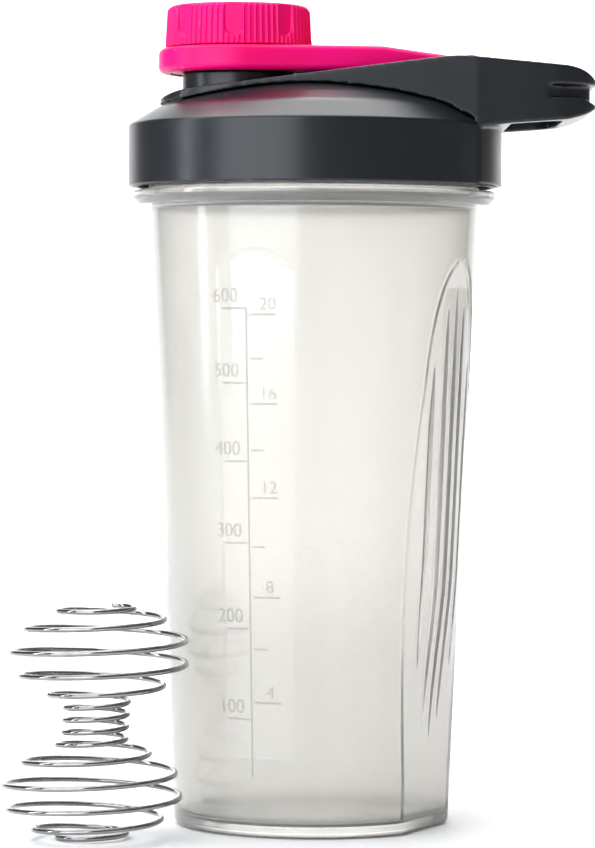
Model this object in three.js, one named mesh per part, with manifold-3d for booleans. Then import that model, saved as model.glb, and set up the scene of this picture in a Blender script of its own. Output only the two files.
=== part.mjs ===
// Protein shaker bottle with a flip-back spout cap, a carry-loop handle and a loose wire whisk.
//
// Millimetres, +Z up. The origin is the centre of the cup's flat base, on the surface it stands on.
// +X points to the carry loop, the spout leans towards -X, and the whisk stands beside the cup.

import * as THREE from 'three';
import { mergeVertices } from 'three/addons/utils/BufferGeometryUtils.js';
import Module from 'manifold-3d';

const wasm = await Module();
wasm.setup();

// ---------------------------------------------------------------- driving dimensions

const FIT = 0.3;                  // gap left between two touching pieces
const PAST = 1;                   // how far a cutting piece runs past what it cuts
const ROUND = 48;                 // sides of a large round piece
const SMALL_ROUND = 36;           // sides of a round piece under 45 mm across

// Cup
const CUP_HEIGHT = 185;           // base to rim
const BASE_RADIUS = 36.7;
const SIDE_SLOPE = 0.0447;        // radius gained per millimetre of height
const CUP_WALL = 1.8;
const CUP_FLOOR = 3;
const HEEL_RADIUS = 3;
const NECK_HEIGHT = 15.4;         // threaded neck above the stop collar
const NECK_STEP = 0.31;           // neck stands this far outside the wall below it
const NECK_WALL = 2;
const RIM_CHAMFER = 0.5;
const COLLAR_REACH = 4.7;         // stop collar beyond the neck
const COLLAR_HEIGHT = 4.3;
const COLLAR_EDGE = 0.8;          // rounding of the collar's top edge
const COLLAR_BELLY = [            // its full, rounded underside: in from its edge, up from its foot
  { inset: 1.9, rise: 0.5 },
  { inset: 0.4, rise: 1.8 },
  { inset: 0, rise: 3 },
];

// Grip panels, one each side of the cup
const GRIP_AZIMUTHS = [-26, 154];
const GRIP_TOP = 151;             // apex of the arch
const GRIP_BASE_ANGLE = 22.6;     // half width of the arch at the base
const GRIP_SWELL_ANGLE = 4.4;     // added where the arch is widest
const GRIP_DEPTH = 0.9;           // recess of the crowned upper part; the foot is flat
const GRIP_SWELL_CLIMB = 1.3;     // swell runs out at 1 / 1.3 of the way up
const GRIP_ARCH_POWER = 6.5;      // roundness of the arch's top
const GRIP_CROWNING = [0.1, 0.47];                 // share of the height where flat turns to crowned
const GRIP_LEVELS = [0.2, 0.4, 0.6, 0.8, 0.92, 1]; // rings of the wall, as shares of the height

// Large thread between cup and lid
const LID_THREAD = { lead: 9, turns: 0.75, height: 1.6, rootWidth: 2.4, crestWidth: 1.0 };
const LID_THREAD_BOTTOM = 1.55;   // middle of the lid's lowest thread end above the skirt edge
const THREAD_PLAY = 1.3;          // radial room between the cup's crests and the skirt
const LID_CREST_PLAY = 0.6;       // radial room between the lid's crests and the cup's neck
const THREAD_STARTS = 2;
const THREAD_STEPS = 36;          // steps in a full turn of thread
const THREAD_ROOT = 0.4;          // depth of a ridge's root inside the wall it stands on
const THREAD_RUNOUT = { height: 0.2, rate: 10 };   // a ridge starts low and soon reaches full height

// Lid
const LID_GAP = 1.1;              // neck showing between skirt and stop collar
const SKIRT_WALL = 2.4;
const SKIRT_EDGE = 0.5;           // chamfer round the skirt's lower edge
const SKIRT_SHOULDER = 1.2;       // rounding under the shoulder
const ROOF_CORNER = 0.8;          // fillet between the roof's seat and the skirt's bore
const ROOF_WALL = 2.3;
const SHOULDER_WIDTH = 8.3;       // sloping shoulder round the dome
const SHOULDER_RISE = 4.9;        // height of the shoulder's inner edge above the skirt's top
const SHOULDER_BEND = { inset: 0.8, rise: 0.5 };
const MID_DOME = { radius: 32, rise: 7.75 };
const CROWN_RISE = 10.5;          // dome height at its middle above the skirt's top
const CROWN_RADIUS = 22;
const CROWN_BLEND = { width: 4, drop: 0.3 };       // where the dome levels out
const SEAL_LIP = 1.5;             // thickness of the ring that holds the gasket
const SEAL_LIP_DEPTH = 4;
const SEAL_LIP_PLAY = 0.4;        // radial room between that ring and the gasket
const GASKET_OFFSET = 0.25;       // gasket's middle outside the middle of the cup's rim
const GASKET_HEIGHT = 2;
const GASKET_WIDTH = 3.7;

// Spout
const SPOUT_X = -20.35;
const SPOUT_RADIUS = 15;          // plain foot of the spout
const SPOUT_BORE_RADIUS = 11.3;
const SPOUT_STEP = 1.4;           // threaded part inside the plain foot
const SPOUT_CHAMFER = 0.6;
const CAP_THREAD = { lead: 6, turns: 0.26, height: 1.1, rootWidth: 1.6, crestWidth: 0.7 };
const CAP_THREAD_BOTTOM = 2.4;    // middle of the cap's lowest thread end above the foot
const CAP_THREAD_PLAY = 0.4;
const DISC_PLAY = 0.4;            // radial room round the sealing disc

// Handle frame
const FRAME_HALF_WIDTH = 25.4;
const FRAME_NOSE_LAND = 6;        // land in front of and beside the spout
const RAIL_WALL = 3.6;
const RAIL_SLOPE = 0.121;         // climb of the rails' top edges towards the hinge
const RAIL_TOP_RISE = 6.8;        // their highest place, above the crown
const RAIL_NOSE = { length: 14, drop: 1.1 };       // their tops round down in front of the spout
const RAIL_PEAK = { start: 8, middle: 4, blend: 0.25 };   // rounding of the highest place, off the hinge
const LOOP_WALL = 4.6;
const LOOP_CORNER_RADIUS = 12;
const LOOP_HOLE_GAP = 2.3;        // finger hole beyond the skirt
const LOOP_HOLE_LENGTH = 14;
const LOOP_BAR = 8.8;             // bar at the end of the loop
const LOOP_GROOVE = 2;            // depth of the groove round the bar
const LOOP_TOP = { inset: 2, start: 2.1, corner: 2.5 };   // bar's top, drops below the rails' peak
const LOOP_LIP = { upper: 7, grooveTop: 7.4, grooveBottom: 10.9, lower: 12.8 };
const LOOP_BELLY = { inset: 2, corner: 15.2, bar: 16.6, hole: 17.6, rear: 18.7, front: 23 };
const DECK_Z_RISE = 2.2;          // arm channel floor above the crown
const WRAP_RECESS = 1.2;          // depth of the recess in the skirt that takes the rear panel
const WRAP_PROUD = 0.6;           // rear panel beyond the skirt
const WRAP_LIFT = 0.4;            // rear panel's lower edge above the skirt's
const WRAP_OVERLAP = 0.5;         // rear panel's reach up into the frame
const FRAME_SEAT = 0.4;           // gap between the frame and the dome it sits on
const CHANNEL_START_X = -2;       // front end of the arm channel's floor
const CHANNEL_CORNER = 1;

// Cap arm and its hinge
const HINGE_INSET = 8.7;          // hinge axis inside the skirt's radius
const PIN_RADIUS = 1.1;
const KNUCKLE_RADIUS = 2.6;
const KNUCKLE_HALF_LENGTH = 14;
const LUG_RADIUS = 2.8;
const LUG_DROP = 0.7;             // middle of a lug's round top below the hinge axis
const ARM_DECK_GAP = 1;           // underside of the arm above the channel floor
const ARM_COLLAR_WALL = 3.1;
const ARM_EDGE = 0.9;             // rounding of the collar's edges
const ARM_THICKNESS = 6.7;
const ARM_END_THICKNESS = 4.4;
const ARM_END_HALF_WIDTH = 13;
const ARM_END_LENGTH = 3;         // straight stretch at the hinge end
const ARM_SLOPE = { start: 18, end: 5 };   // the top slopes down from X = start to this far from the hinge

// Screw cap, held in the arm's collar
const KNOB_OVERHANG = 2.9;        // knob beyond the sleeve
const KNOB_TAPER = 0.6;
const KNOB_RISE = 21.2;           // knob top above the crown
const KNOB_EDGE = 1.5;
const KNOB_ROOF = 2;
const SLEEVE_WALL = 1.7;
const SLEEVE_PLAY = 0.4;          // radial room for the sleeve in the collar
const SNAP_LIP = { reach: 1.1, height: 1.2, lead: 0.5, play: 0.4 };
const CAP_LIFT = 3;               // travel of the cap while it unscrews
const FLUTES = { count: 8, width: 4.9, depth: 1.3, azimuth: -93.5 };
const FLUTE_FOOT = 2.2;           // knob's plain band under the flutes
const FLUTE_CUT = 5;              // thickness of the piece that cuts a flute
const DISC_THICKNESS = 1.8;

// Whisk
const WIRE_RADIUS = 0.7;
const WIRE_SIDES = 6;
const WHISK_AZIMUTH = -148.1;     // where it stands, as an angle about the cup
const WHISK_GAP = 7.5;            // between the base's edge and the widest turn
const WHISK_LEAN = 0.058;         // sideways drift per millimetre of height, towards +X
const WHISK_NECK_RADIUS = 8.2;    // to the middle of the wire
const WHISK_LOBE_RADIUS = 23.3;
const WHISK_HALF_TURNS = 6.85;    // turns above and below the middle
const WHISK_LOBE_TURNS = 4.1;     // middle of a lobe, in turns from the middle
const WHISK_LOBE_SPAN = 2.4;      // half length of a lobe, in turns
const WHISK_PITCH = 3.2;
const WHISK_LOBE_PITCH = 3.1;     // pitch added at the middle of a lobe
const WHISK_END_PITCH = 1.3;
const WHISK_END_TURNS = 6.1;      // the end turns close up beyond this
const WHISK_STEPS = 200;

// ---------------------------------------------------------------- dimensions that follow

const wallRadius = (z) => BASE_RADIUS + SIDE_SLOPE * z;
const COLLAR_TOP = CUP_HEIGHT - NECK_HEIGHT;
const COLLAR_BOTTOM = COLLAR_TOP - COLLAR_HEIGHT;
const NECK_RADIUS = wallRadius(COLLAR_BOTTOM) + NECK_STEP;
const NECK_BORE = NECK_RADIUS - NECK_WALL;
const COLLAR_EDGE_RADIUS = NECK_RADIUS + COLLAR_REACH;
const CUP_CREST = NECK_RADIUS + LID_THREAD.height;
const SKIRT_BOTTOM = COLLAR_TOP + LID_GAP;
const SKIRT_BORE = CUP_CREST + THREAD_PLAY;
const SKIRT_RADIUS = SKIRT_BORE + SKIRT_WALL;
const ROOF_SEAT = CUP_HEIGHT + GASKET_HEIGHT + 2 * FIT;
const SHOULDER_Z = ROOF_SEAT - FIT;
const CROWN_Z = SHOULDER_Z + CROWN_RISE;
const GASKET_INNER = (NECK_BORE + NECK_RADIUS - GASKET_WIDTH) / 2 + GASKET_OFFSET;
const LIP_RADIUS = GASKET_INNER - SEAL_LIP_PLAY;
const FRAME_REAR_X = Math.sqrt(SKIRT_RADIUS ** 2 - FRAME_HALF_WIDTH ** 2);
const FRAME_NOSE_RADIUS = SPOUT_RADIUS + FRAME_NOSE_LAND;
const LOOP_HOLE_X = SKIRT_RADIUS + LOOP_HOLE_GAP;
const LOOP_BAR_X = LOOP_HOLE_X + LOOP_HOLE_LENGTH;
const LOOP_END_X = LOOP_BAR_X + LOOP_BAR;
const KNOB_TOP = CROWN_Z + KNOB_RISE;
const SPOUT_TOP = KNOB_TOP - KNOB_ROOF - DISC_THICKNESS - 2 * FIT;
const SPOUT_ROOT = SPOUT_RADIUS - SPOUT_STEP;
const SPOUT_CREST = SPOUT_ROOT + CAP_THREAD.height;
const CAP_BORE = SPOUT_CREST + CAP_THREAD_PLAY;
const SLEEVE_RADIUS = CAP_BORE + SLEEVE_WALL;
const DECK_Z = CROWN_Z + DECK_Z_RISE;
const ARM_BOTTOM = DECK_Z + ARM_DECK_GAP;
const COLLAR_Z = ARM_BOTTOM + ARM_THICKNESS;
const KNOB_BOTTOM = COLLAR_Z + FIT;
const KNOB_RADIUS = SLEEVE_RADIUS + KNOB_OVERHANG;
const KNOB_TOP_RADIUS = KNOB_RADIUS - KNOB_TAPER;
const COLLAR_BORE = SLEEVE_RADIUS + SLEEVE_PLAY;
const LIP_BORE = SLEEVE_RADIUS + SNAP_LIP.reach + SLEEVE_PLAY;
const COLLAR_RADIUS = LIP_BORE + ARM_COLLAR_WALL;
const SLEEVE_BOTTOM = ARM_BOTTOM + FIT;
const SPOUT_FOOT_Z = ARM_BOTTOM;
const HINGE_X = SKIRT_RADIUS - HINGE_INSET;
const HINGE_Z = DECK_Z + FIT + KNUCKLE_RADIUS;
const WHISK_DISTANCE = BASE_RADIUS + WHISK_GAP + WHISK_LOBE_RADIUS + WIRE_RADIUS;
const RECESS_RADIUS = SKIRT_RADIUS - WRAP_RECESS;

// ---------------------------------------------------------------- solids

/** Turns a closed three.js geometry into a solid that can be joined and cut. */
function solidOf(geometry) {
  const bare = geometry.index ? geometry.toNonIndexed() : geometry.clone();
  bare.deleteAttribute('normal');
  bare.deleteAttribute('uv');
  const merged = mergeVertices(bare, 1e-4);
  const corners = merged.index.array;
  const triangles = [];
  for (let i = 0; i < corners.length; i += 3) {
    const [a, b, c] = corners.slice(i, i + 3);
    if (a !== b && b !== c && c !== a) {
      triangles.push(a, b, c);
    }
  }
  return new wasm.Manifold(new wasm.Mesh({
    numProp: 3,
    vertProperties: new Float32Array(merged.attributes.position.array),
    triVerts: new Uint32Array(triangles),
  }));
}

/** A profile of [radius, height] points turned about +Z, listed up the outside. */
function turnedGeometry(profile, sides) {
  const points = profile.map(([radius, z]) => new THREE.Vector2(radius, z));
  return new THREE.LatheGeometry(points, sides).rotateX(Math.PI / 2);
}

function turned(profile, sides = ROUND) {
  return solidOf(turnedGeometry(profile, sides));
}

/** A plain round bar about +Z. */
function post(radius, bottom, top, sides = SMALL_ROUND) {
  return turned([[0, bottom], [radius, bottom], [radius, top], [0, top]], sides);
}

/** A box between two corners. */
function block(low, high) {
  const size = high.map((value, axis) => value - low[axis]);
  const box = new THREE.BoxGeometry(...size);
  return solidOf(box.translate(...low.map((value, axis) => value + size[axis] / 2)));
}

/** A plan outline in X and Y raised from one height to another. */
function raised(shape, bottom, top, curveSegments = 12) {
  const options = { depth: top - bottom, bevelEnabled: false, curveSegments };
  return solidOf(new THREE.ExtrudeGeometry(shape, options).translate(0, 0, bottom));
}

/** A side outline in X and Z, as wide as halfWidth each side of the XZ plane. */
function acrossY(shape, halfWidth, curveSegments = 12) {
  const options = { depth: 2 * halfWidth, bevelEnabled: false, curveSegments };
  const side = new THREE.ExtrudeGeometry(shape, options);
  return solidOf(side.rotateX(Math.PI / 2).translate(0, halfWidth, 0));
}

/** Points of a quarter turn about [centreR, centreZ], from one angle to another in degrees. */
function arcPoints(centreR, centreZ, radius, from, to, steps) {
  const points = [];
  for (let i = 0; i <= steps; i += 1) {
    const angle = THREE.MathUtils.degToRad(from + (to - from) * i / steps);
    points.push([centreR + radius * Math.cos(angle), centreZ + radius * Math.sin(angle)]);
  }
  return points;
}

/** Joins solids that overlap into one. */
function joined(solids) {
  return solids.reduce((whole, solid) => whole.add(solid));
}

/** Two-start thread ridges on a wall: height is negative for a ridge that points inwards. */
function threadRidges(thread, rootRadius, height, bottomZ) {
  const { lead, turns, rootWidth, crestWidth } = thread;
  const buried = rootRadius - THREAD_ROOT * Math.sign(height);
  const steps = Math.ceil(turns * THREAD_STEPS);
  const section = new THREE.Shape([
    new THREE.Vector2(buried, -rootWidth / 2),
    new THREE.Vector2(rootRadius + height, -crestWidth / 2),
    new THREE.Vector2(rootRadius + height, crestWidth / 2),
    new THREE.Vector2(buried, rootWidth / 2),
  ]);
  const ridges = [];
  for (let start = 0; start < THREAD_STARTS; start += 1) {
    const ridge = new THREE.ExtrudeGeometry(section, { depth: 1, steps, bevelEnabled: false });
    const position = ridge.attributes.position;
    for (let i = 0; i < position.count; i += 1) {
      const along = position.getZ(i);
      const fromEnd = Math.min(along, 1 - along);
      const fade = Math.min(1, THREAD_RUNOUT.height + THREAD_RUNOUT.rate * fromEnd);
      const radius = buried + (position.getX(i) - buried) * fade;
      const angle = 2 * Math.PI * (turns * along + start / THREAD_STARTS);
      const z = bottomZ + lead * turns * along - position.getY(i) * (0.5 + fade / 2);
      position.setXYZ(i, radius * Math.cos(angle), radius * Math.sin(angle), z);
    }
    ridges.push(solidOf(ridge));
  }
  return joined(ridges);
}

/** A named mesh with its own material. */
function piece(name, solid, colour, roughness, metalness = 0) {
  const { vertProperties, triVerts } = solid.getMesh();
  const geometry = new THREE.BufferGeometry();
  geometry.setAttribute('position', new THREE.BufferAttribute(vertProperties, 3));
  geometry.setIndex(new THREE.BufferAttribute(triVerts, 1));
  geometry.computeVertexNormals();
  const material = new THREE.MeshStandardMaterial({ color: colour, roughness, metalness });
  const mesh = new THREE.Mesh(geometry, material);
  mesh.name = name;
  return mesh;
}

// ---------------------------------------------------------------- cup

/** How far the grip panels sink the wall in at a height and an angle about +Z. */
function gripRecess(z, angle) {
  if (z >= GRIP_TOP) {
    return 0;
  }
  const climb = Math.max(0, z) / GRIP_TOP;
  const swell = GRIP_SWELL_ANGLE * Math.sin(Math.PI * Math.min(1, climb * GRIP_SWELL_CLIMB));
  const halfAngle = (GRIP_BASE_ANGLE + swell) * Math.sqrt(1 - climb ** GRIP_ARCH_POWER);
  const flat = wallRadius(z) * (1 - Math.cos(THREE.MathUtils.degToRad(halfAngle)));
  const crowned = THREE.MathUtils.smoothstep(climb, ...GRIP_CROWNING);
  const depth = THREE.MathUtils.lerp(flat, Math.min(flat, GRIP_DEPTH), crowned);
  let recess = 0;
  for (const azimuth of GRIP_AZIMUTHS) {
    const away = Math.abs(((THREE.MathUtils.radToDeg(angle) - azimuth + 540) % 360) - 180);
    recess = Math.max(recess, depth * (1 - (away / halfAngle) ** 2));
  }
  return recess;
}

/** A turned solid whose side is sunk in at the grip panels. */
function turnedWithGrips(profile) {
  const geometry = turnedGeometry(profile, ROUND);
  const position = geometry.attributes.position;
  for (let i = 0; i < position.count; i += 1) {
    const [x, y, z] = [position.getX(i), position.getY(i), position.getZ(i)];
    const radius = Math.hypot(x, y);
    if (radius > BASE_RADIUS / 2) {
      const scale = 1 - gripRecess(z, Math.atan2(y, x)) / radius;
      position.setXYZ(i, x * scale, y * scale, z);
    }
  }
  return solidOf(geometry);
}

function cup() {
  const gripLevels = GRIP_LEVELS.map((share) => share * GRIP_TOP);
  const outside = turnedWithGrips([
    [0, 0],
    ...arcPoints(wallRadius(HEEL_RADIUS) - HEEL_RADIUS, HEEL_RADIUS, HEEL_RADIUS, -90, 0, 2),
    ...gripLevels.map((z) => [wallRadius(z), z]),
    [wallRadius(COLLAR_BOTTOM), COLLAR_BOTTOM],
    ...COLLAR_BELLY.map(({ inset, rise }) => [COLLAR_EDGE_RADIUS - inset, COLLAR_BOTTOM + rise]),
    [COLLAR_EDGE_RADIUS, COLLAR_TOP - COLLAR_EDGE],
    [COLLAR_EDGE_RADIUS - COLLAR_EDGE, COLLAR_TOP],
    [NECK_RADIUS, COLLAR_TOP],
    [NECK_RADIUS, CUP_HEIGHT - RIM_CHAMFER],
    [NECK_RADIUS - RIM_CHAMFER, CUP_HEIGHT],
    [0, CUP_HEIGHT],
  ]);
  const cavityHeel = wallRadius(CUP_FLOOR) - CUP_WALL - HEEL_RADIUS;
  const inside = turnedWithGrips([
    [0, CUP_FLOOR],
    ...arcPoints(cavityHeel, CUP_FLOOR + HEEL_RADIUS, HEEL_RADIUS, -90, 0, 2),
    ...gripLevels.map((z) => [wallRadius(z) - CUP_WALL, z]),
    [wallRadius(COLLAR_BOTTOM) - CUP_WALL, COLLAR_BOTTOM],
    [NECK_BORE, COLLAR_TOP],
    [NECK_BORE, CUP_HEIGHT + PAST],
    [0, CUP_HEIGHT + PAST],
  ]);
  const spacing = LID_THREAD.lead / THREAD_STARTS;
  const threadBottom = SKIRT_BOTTOM + LID_THREAD_BOTTOM + spacing / 2;
  const thread = threadRidges(LID_THREAD, NECK_RADIUS, LID_THREAD.height, threadBottom);
  return outside.subtract(inside).add(thread);
}

// ---------------------------------------------------------------- lid

/** The lid's sloping top from its shoulder inwards; grow lifts it for what sits on it. */
function domeProfile(outerRadius, grow) {
  const slope = (SHOULDER_RISE - SHOULDER_BEND.rise) / (SHOULDER_WIDTH - SHOULDER_BEND.inset);
  const inset = SKIRT_RADIUS - outerRadius;
  const outerZ = SHOULDER_Z + SHOULDER_BEND.rise + slope * (inset - SHOULDER_BEND.inset);
  return [
    [outerRadius, outerZ + grow],
    [SKIRT_RADIUS - SHOULDER_WIDTH, SHOULDER_Z + SHOULDER_RISE + grow],
    [MID_DOME.radius, SHOULDER_Z + MID_DOME.rise + grow],
    [CROWN_RADIUS, CROWN_Z - CROWN_BLEND.drop + grow],
    [CROWN_RADIUS - CROWN_BLEND.width, CROWN_Z + grow],
    [0, CROWN_Z + grow],
  ];
}

function lidShell() {
  const cover = turned([
    [0, SKIRT_BOTTOM],
    [SKIRT_RADIUS - SKIRT_EDGE, SKIRT_BOTTOM],
    [SKIRT_RADIUS, SKIRT_BOTTOM + SKIRT_EDGE],
    [SKIRT_RADIUS, SHOULDER_Z - SKIRT_SHOULDER],
    ...domeProfile(SKIRT_RADIUS - SHOULDER_BEND.inset, 0),
  ]);
  const hollow = turned([
    [0, SKIRT_BOTTOM - PAST],
    [SKIRT_BORE, SKIRT_BOTTOM - PAST],
    [SKIRT_BORE, ROOF_SEAT - ROOF_CORNER],
    [SKIRT_BORE - ROOF_CORNER, ROOF_SEAT],
    [LIP_RADIUS, ROOF_SEAT],
    [LIP_RADIUS, ROOF_SEAT - SEAL_LIP_DEPTH],
    [LIP_RADIUS - SEAL_LIP, ROOF_SEAT - SEAL_LIP_DEPTH],
    [LIP_RADIUS - SEAL_LIP, SHOULDER_Z + SHOULDER_RISE - ROOF_WALL],
    [CROWN_RADIUS, CROWN_Z - ROOF_WALL - CROWN_BLEND.drop],
    [CROWN_RADIUS - CROWN_BLEND.width, CROWN_Z - ROOF_WALL],
    [0, CROWN_Z - ROOF_WALL],
  ]);
  const threadBottom = SKIRT_BOTTOM + LID_THREAD_BOTTOM;
  const threadHeight = SKIRT_BORE - NECK_RADIUS - LID_CREST_PLAY;
  const thread = threadRidges(LID_THREAD, SKIRT_BORE, -threadHeight, threadBottom);
  const rearZone = block([0, -FRAME_HALF_WIDTH - FIT, SKIRT_BOTTOM - PAST],
    [LOOP_END_X, FRAME_HALF_WIDTH + FIT, CROWN_Z]);
  const recess = rearZone
    .subtract(post(RECESS_RADIUS, SKIRT_BOTTOM - 2 * PAST, CROWN_Z + PAST, ROUND));
  const spout = turned([
    [0, SHOULDER_Z],
    [SPOUT_RADIUS, SHOULDER_Z],
    [SPOUT_RADIUS, SPOUT_FOOT_Z],
    [SPOUT_ROOT, SPOUT_FOOT_Z],
    [SPOUT_ROOT, SPOUT_TOP - SPOUT_CHAMFER],
    [SPOUT_ROOT - SPOUT_CHAMFER, SPOUT_TOP],
    [0, SPOUT_TOP],
  ], SMALL_ROUND).translate(SPOUT_X, 0, 0).subtract(hollow);
  const spacing = CAP_THREAD.lead / THREAD_STARTS;
  const spoutThread = threadRidges(CAP_THREAD, SPOUT_ROOT, CAP_THREAD.height,
    SPOUT_FOOT_Z + CAP_THREAD_BOTTOM + spacing / 2).translate(SPOUT_X, 0, 0);
  const bore = post(SPOUT_BORE_RADIUS, SHOULDER_Z - PAST, SPOUT_TOP + PAST)
    .translate(SPOUT_X, 0, 0);
  const shell = cover.subtract(hollow).add(thread).subtract(recess);
  return joined([shell, spout, spoutThread]).subtract(bore);
}

/** The ring that seals the lid's roof against the cup's rim. */
function lidGasket() {
  const bottom = CUP_HEIGHT + FIT;
  const outer = GASKET_INNER + GASKET_WIDTH;
  return turned([
    [GASKET_INNER, bottom],
    [outer, bottom],
    [outer, bottom + GASKET_HEIGHT],
    [GASKET_INNER, bottom + GASKET_HEIGHT],
    [GASKET_INNER, bottom],
  ]);
}

// ---------------------------------------------------------------- handle frame

/** Half width of the frame at a place along X, behind its round nose. */
function frameHalfWidth(x) {
  const along = (x - SPOUT_X) / (FRAME_REAR_X - SPOUT_X);
  return THREE.MathUtils.lerp(FRAME_NOSE_RADIUS, FRAME_HALF_WIDTH, Math.min(1, along));
}

/** Plan outline of the frame, drawn in by inset all round and cut off at rearX. */
function framePlan(inset, rearX, cornerRadius) {
  const rearHalf = FRAME_HALF_WIDTH - inset;
  const plan = new THREE.Shape();
  plan.moveTo(SPOUT_X, -(FRAME_NOSE_RADIUS - inset));
  plan.lineTo(FRAME_REAR_X, -rearHalf);
  plan.lineTo(rearX - cornerRadius, -rearHalf);
  plan.absarc(rearX - cornerRadius, cornerRadius - rearHalf, cornerRadius, -Math.PI / 2, 0);
  plan.absarc(rearX - cornerRadius, rearHalf - cornerRadius, cornerRadius, 0, Math.PI / 2);
  plan.lineTo(FRAME_REAR_X, rearHalf);
  plan.lineTo(SPOUT_X, FRAME_NOSE_RADIUS - inset);
  plan.absarc(SPOUT_X, 0, FRAME_NOSE_RADIUS - inset, Math.PI / 2, 3 * Math.PI / 2);
  return plan;
}

/** Side outline of the frame in X and Z, with the groove round the end of the loop. */
function frameSide() {
  const peakZ = CROWN_Z + RAIL_TOP_RISE;
  const climbX = HINGE_X - RAIL_PEAK.start;
  const climbZ = peakZ - RAIL_PEAK.blend;
  const railZ = (x) => climbZ - RAIL_SLOPE * (climbX - x);
  const noseX = SPOUT_X - FRAME_NOSE_RADIUS;
  const roundX = SPOUT_X - RAIL_NOSE.length;
  const grooveX = LOOP_END_X - LOOP_GROOVE;
  const cornerX = LOOP_END_X - LOOP_TOP.corner;
  const side = new THREE.Shape();
  side.moveTo(noseX - PAST, SHOULDER_Z);
  side.lineTo(noseX - PAST, railZ(noseX) - RAIL_NOSE.drop);
  side.lineTo(noseX, railZ(noseX) - RAIL_NOSE.drop);
  side.lineTo(roundX, railZ(roundX));
  side.lineTo(climbX, climbZ);
  side.quadraticCurveTo(HINGE_X - RAIL_PEAK.middle, peakZ + RAIL_PEAK.blend, HINGE_X, peakZ);
  side.lineTo(LOOP_BAR_X - LOOP_TOP.inset, peakZ - LOOP_TOP.start);
  side.quadraticCurveTo(cornerX, peakZ - LOOP_TOP.corner, LOOP_END_X, peakZ - LOOP_LIP.upper);
  side.lineTo(grooveX, peakZ - LOOP_LIP.grooveTop);
  side.lineTo(grooveX, peakZ - LOOP_LIP.grooveBottom);
  side.lineTo(LOOP_END_X, peakZ - LOOP_LIP.lower);
  side.quadraticCurveTo(LOOP_END_X - LOOP_BELLY.inset, peakZ - LOOP_BELLY.corner,
    LOOP_BAR_X, peakZ - LOOP_BELLY.bar);
  side.lineTo(LOOP_HOLE_X, peakZ - LOOP_BELLY.hole);
  side.lineTo(FRAME_REAR_X, peakZ - LOOP_BELLY.rear);
  side.lineTo(0, peakZ - LOOP_BELLY.front);
  side.lineTo(SPOUT_X, peakZ - LOOP_BELLY.front);
  return side;
}

function handleFrame() {
  const bottom = SKIRT_BOTTOM - PAST;
  const top = CROWN_Z + RAIL_TOP_RISE + PAST;
  const outline = raised(framePlan(0, LOOP_END_X, LOOP_CORNER_RADIUS), bottom, top);
  const bulk = outline.intersect(acrossY(frameSide(), FRAME_HALF_WIDTH + PAST));
  const wrapBox = block([0, -FRAME_HALF_WIDTH, SKIRT_BOTTOM + WRAP_LIFT],
    [LOOP_END_X, FRAME_HALF_WIDTH, SHOULDER_Z + WRAP_OVERLAP]);
  const wrap = post(SKIRT_RADIUS + WRAP_PROUD, bottom, top, ROUND).intersect(wrapBox);
  const underLid = turned([
    [0, bottom],
    [RECESS_RADIUS + FIT, bottom],
    ...domeProfile(RECESS_RADIUS + FIT, FRAME_SEAT),
  ]);

  const channel = raised(framePlan(RAIL_WALL, LOOP_HOLE_X, CHANNEL_CORNER), DECK_Z, top)
    .intersect(block([CHANNEL_START_X, -FRAME_HALF_WIDTH, bottom], [LOOP_END_X, FRAME_HALF_WIDTH, top]));
  const holePlan = framePlan(LOOP_WALL, LOOP_BAR_X, LOOP_CORNER_RADIUS - LOOP_WALL);
  const fingerHole = raised(holePlan, bottom, top)
    .intersect(block([LOOP_HOLE_X, -FRAME_HALF_WIDTH, bottom], [LOOP_END_X, FRAME_HALF_WIDTH, top]));
  const spoutHole = post(SPOUT_RADIUS + FIT, SHOULDER_Z, top).translate(SPOUT_X, 0, 0);

  const lugs = [-1, 1].map((side) => {
    const inner = side * (KNUCKLE_HALF_LENGTH + FIT);
    const outer = side * (frameHalfWidth(HINGE_X) - RAIL_WALL / 2);
    const lug = new THREE.Shape();
    lug.moveTo(HINGE_X + LUG_RADIUS, DECK_Z - PAST);
    lug.lineTo(HINGE_X + LUG_RADIUS, HINGE_Z - LUG_DROP);
    lug.absarc(HINGE_X, HINGE_Z - LUG_DROP, LUG_RADIUS, 0, Math.PI);
    lug.lineTo(HINGE_X - LUG_RADIUS, DECK_Z - PAST);
    const keep = block([0, Math.min(inner, outer), bottom], [LOOP_END_X, Math.max(inner, outer), top]);
    return acrossY(lug, FRAME_HALF_WIDTH, 6).intersect(keep);
  });
  const pinHole = hingeBar(PIN_RADIUS + FIT, pinHalfLength() + FIT);
  const hollowed = joined([bulk, wrap]).subtract(underLid).subtract(channel)
    .subtract(fingerHole).subtract(spoutHole);
  return joined([hollowed, ...lugs]).subtract(pinHole);
}

// ---------------------------------------------------------------- hinge pin and cap arm

/** A round bar on the hinge axis. */
function hingeBar(radius, halfLength, sides = 20) {
  return post(radius, -halfLength, halfLength, sides)
    .rotate([90, 0, 0]).translate(HINGE_X, 0, HINGE_Z);
}

/** The pin stops short of the rails' outer faces, so it doesn't show. */
function pinHalfLength() {
  return frameHalfWidth(HINGE_X) - RAIL_WALL / 2;
}

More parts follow.
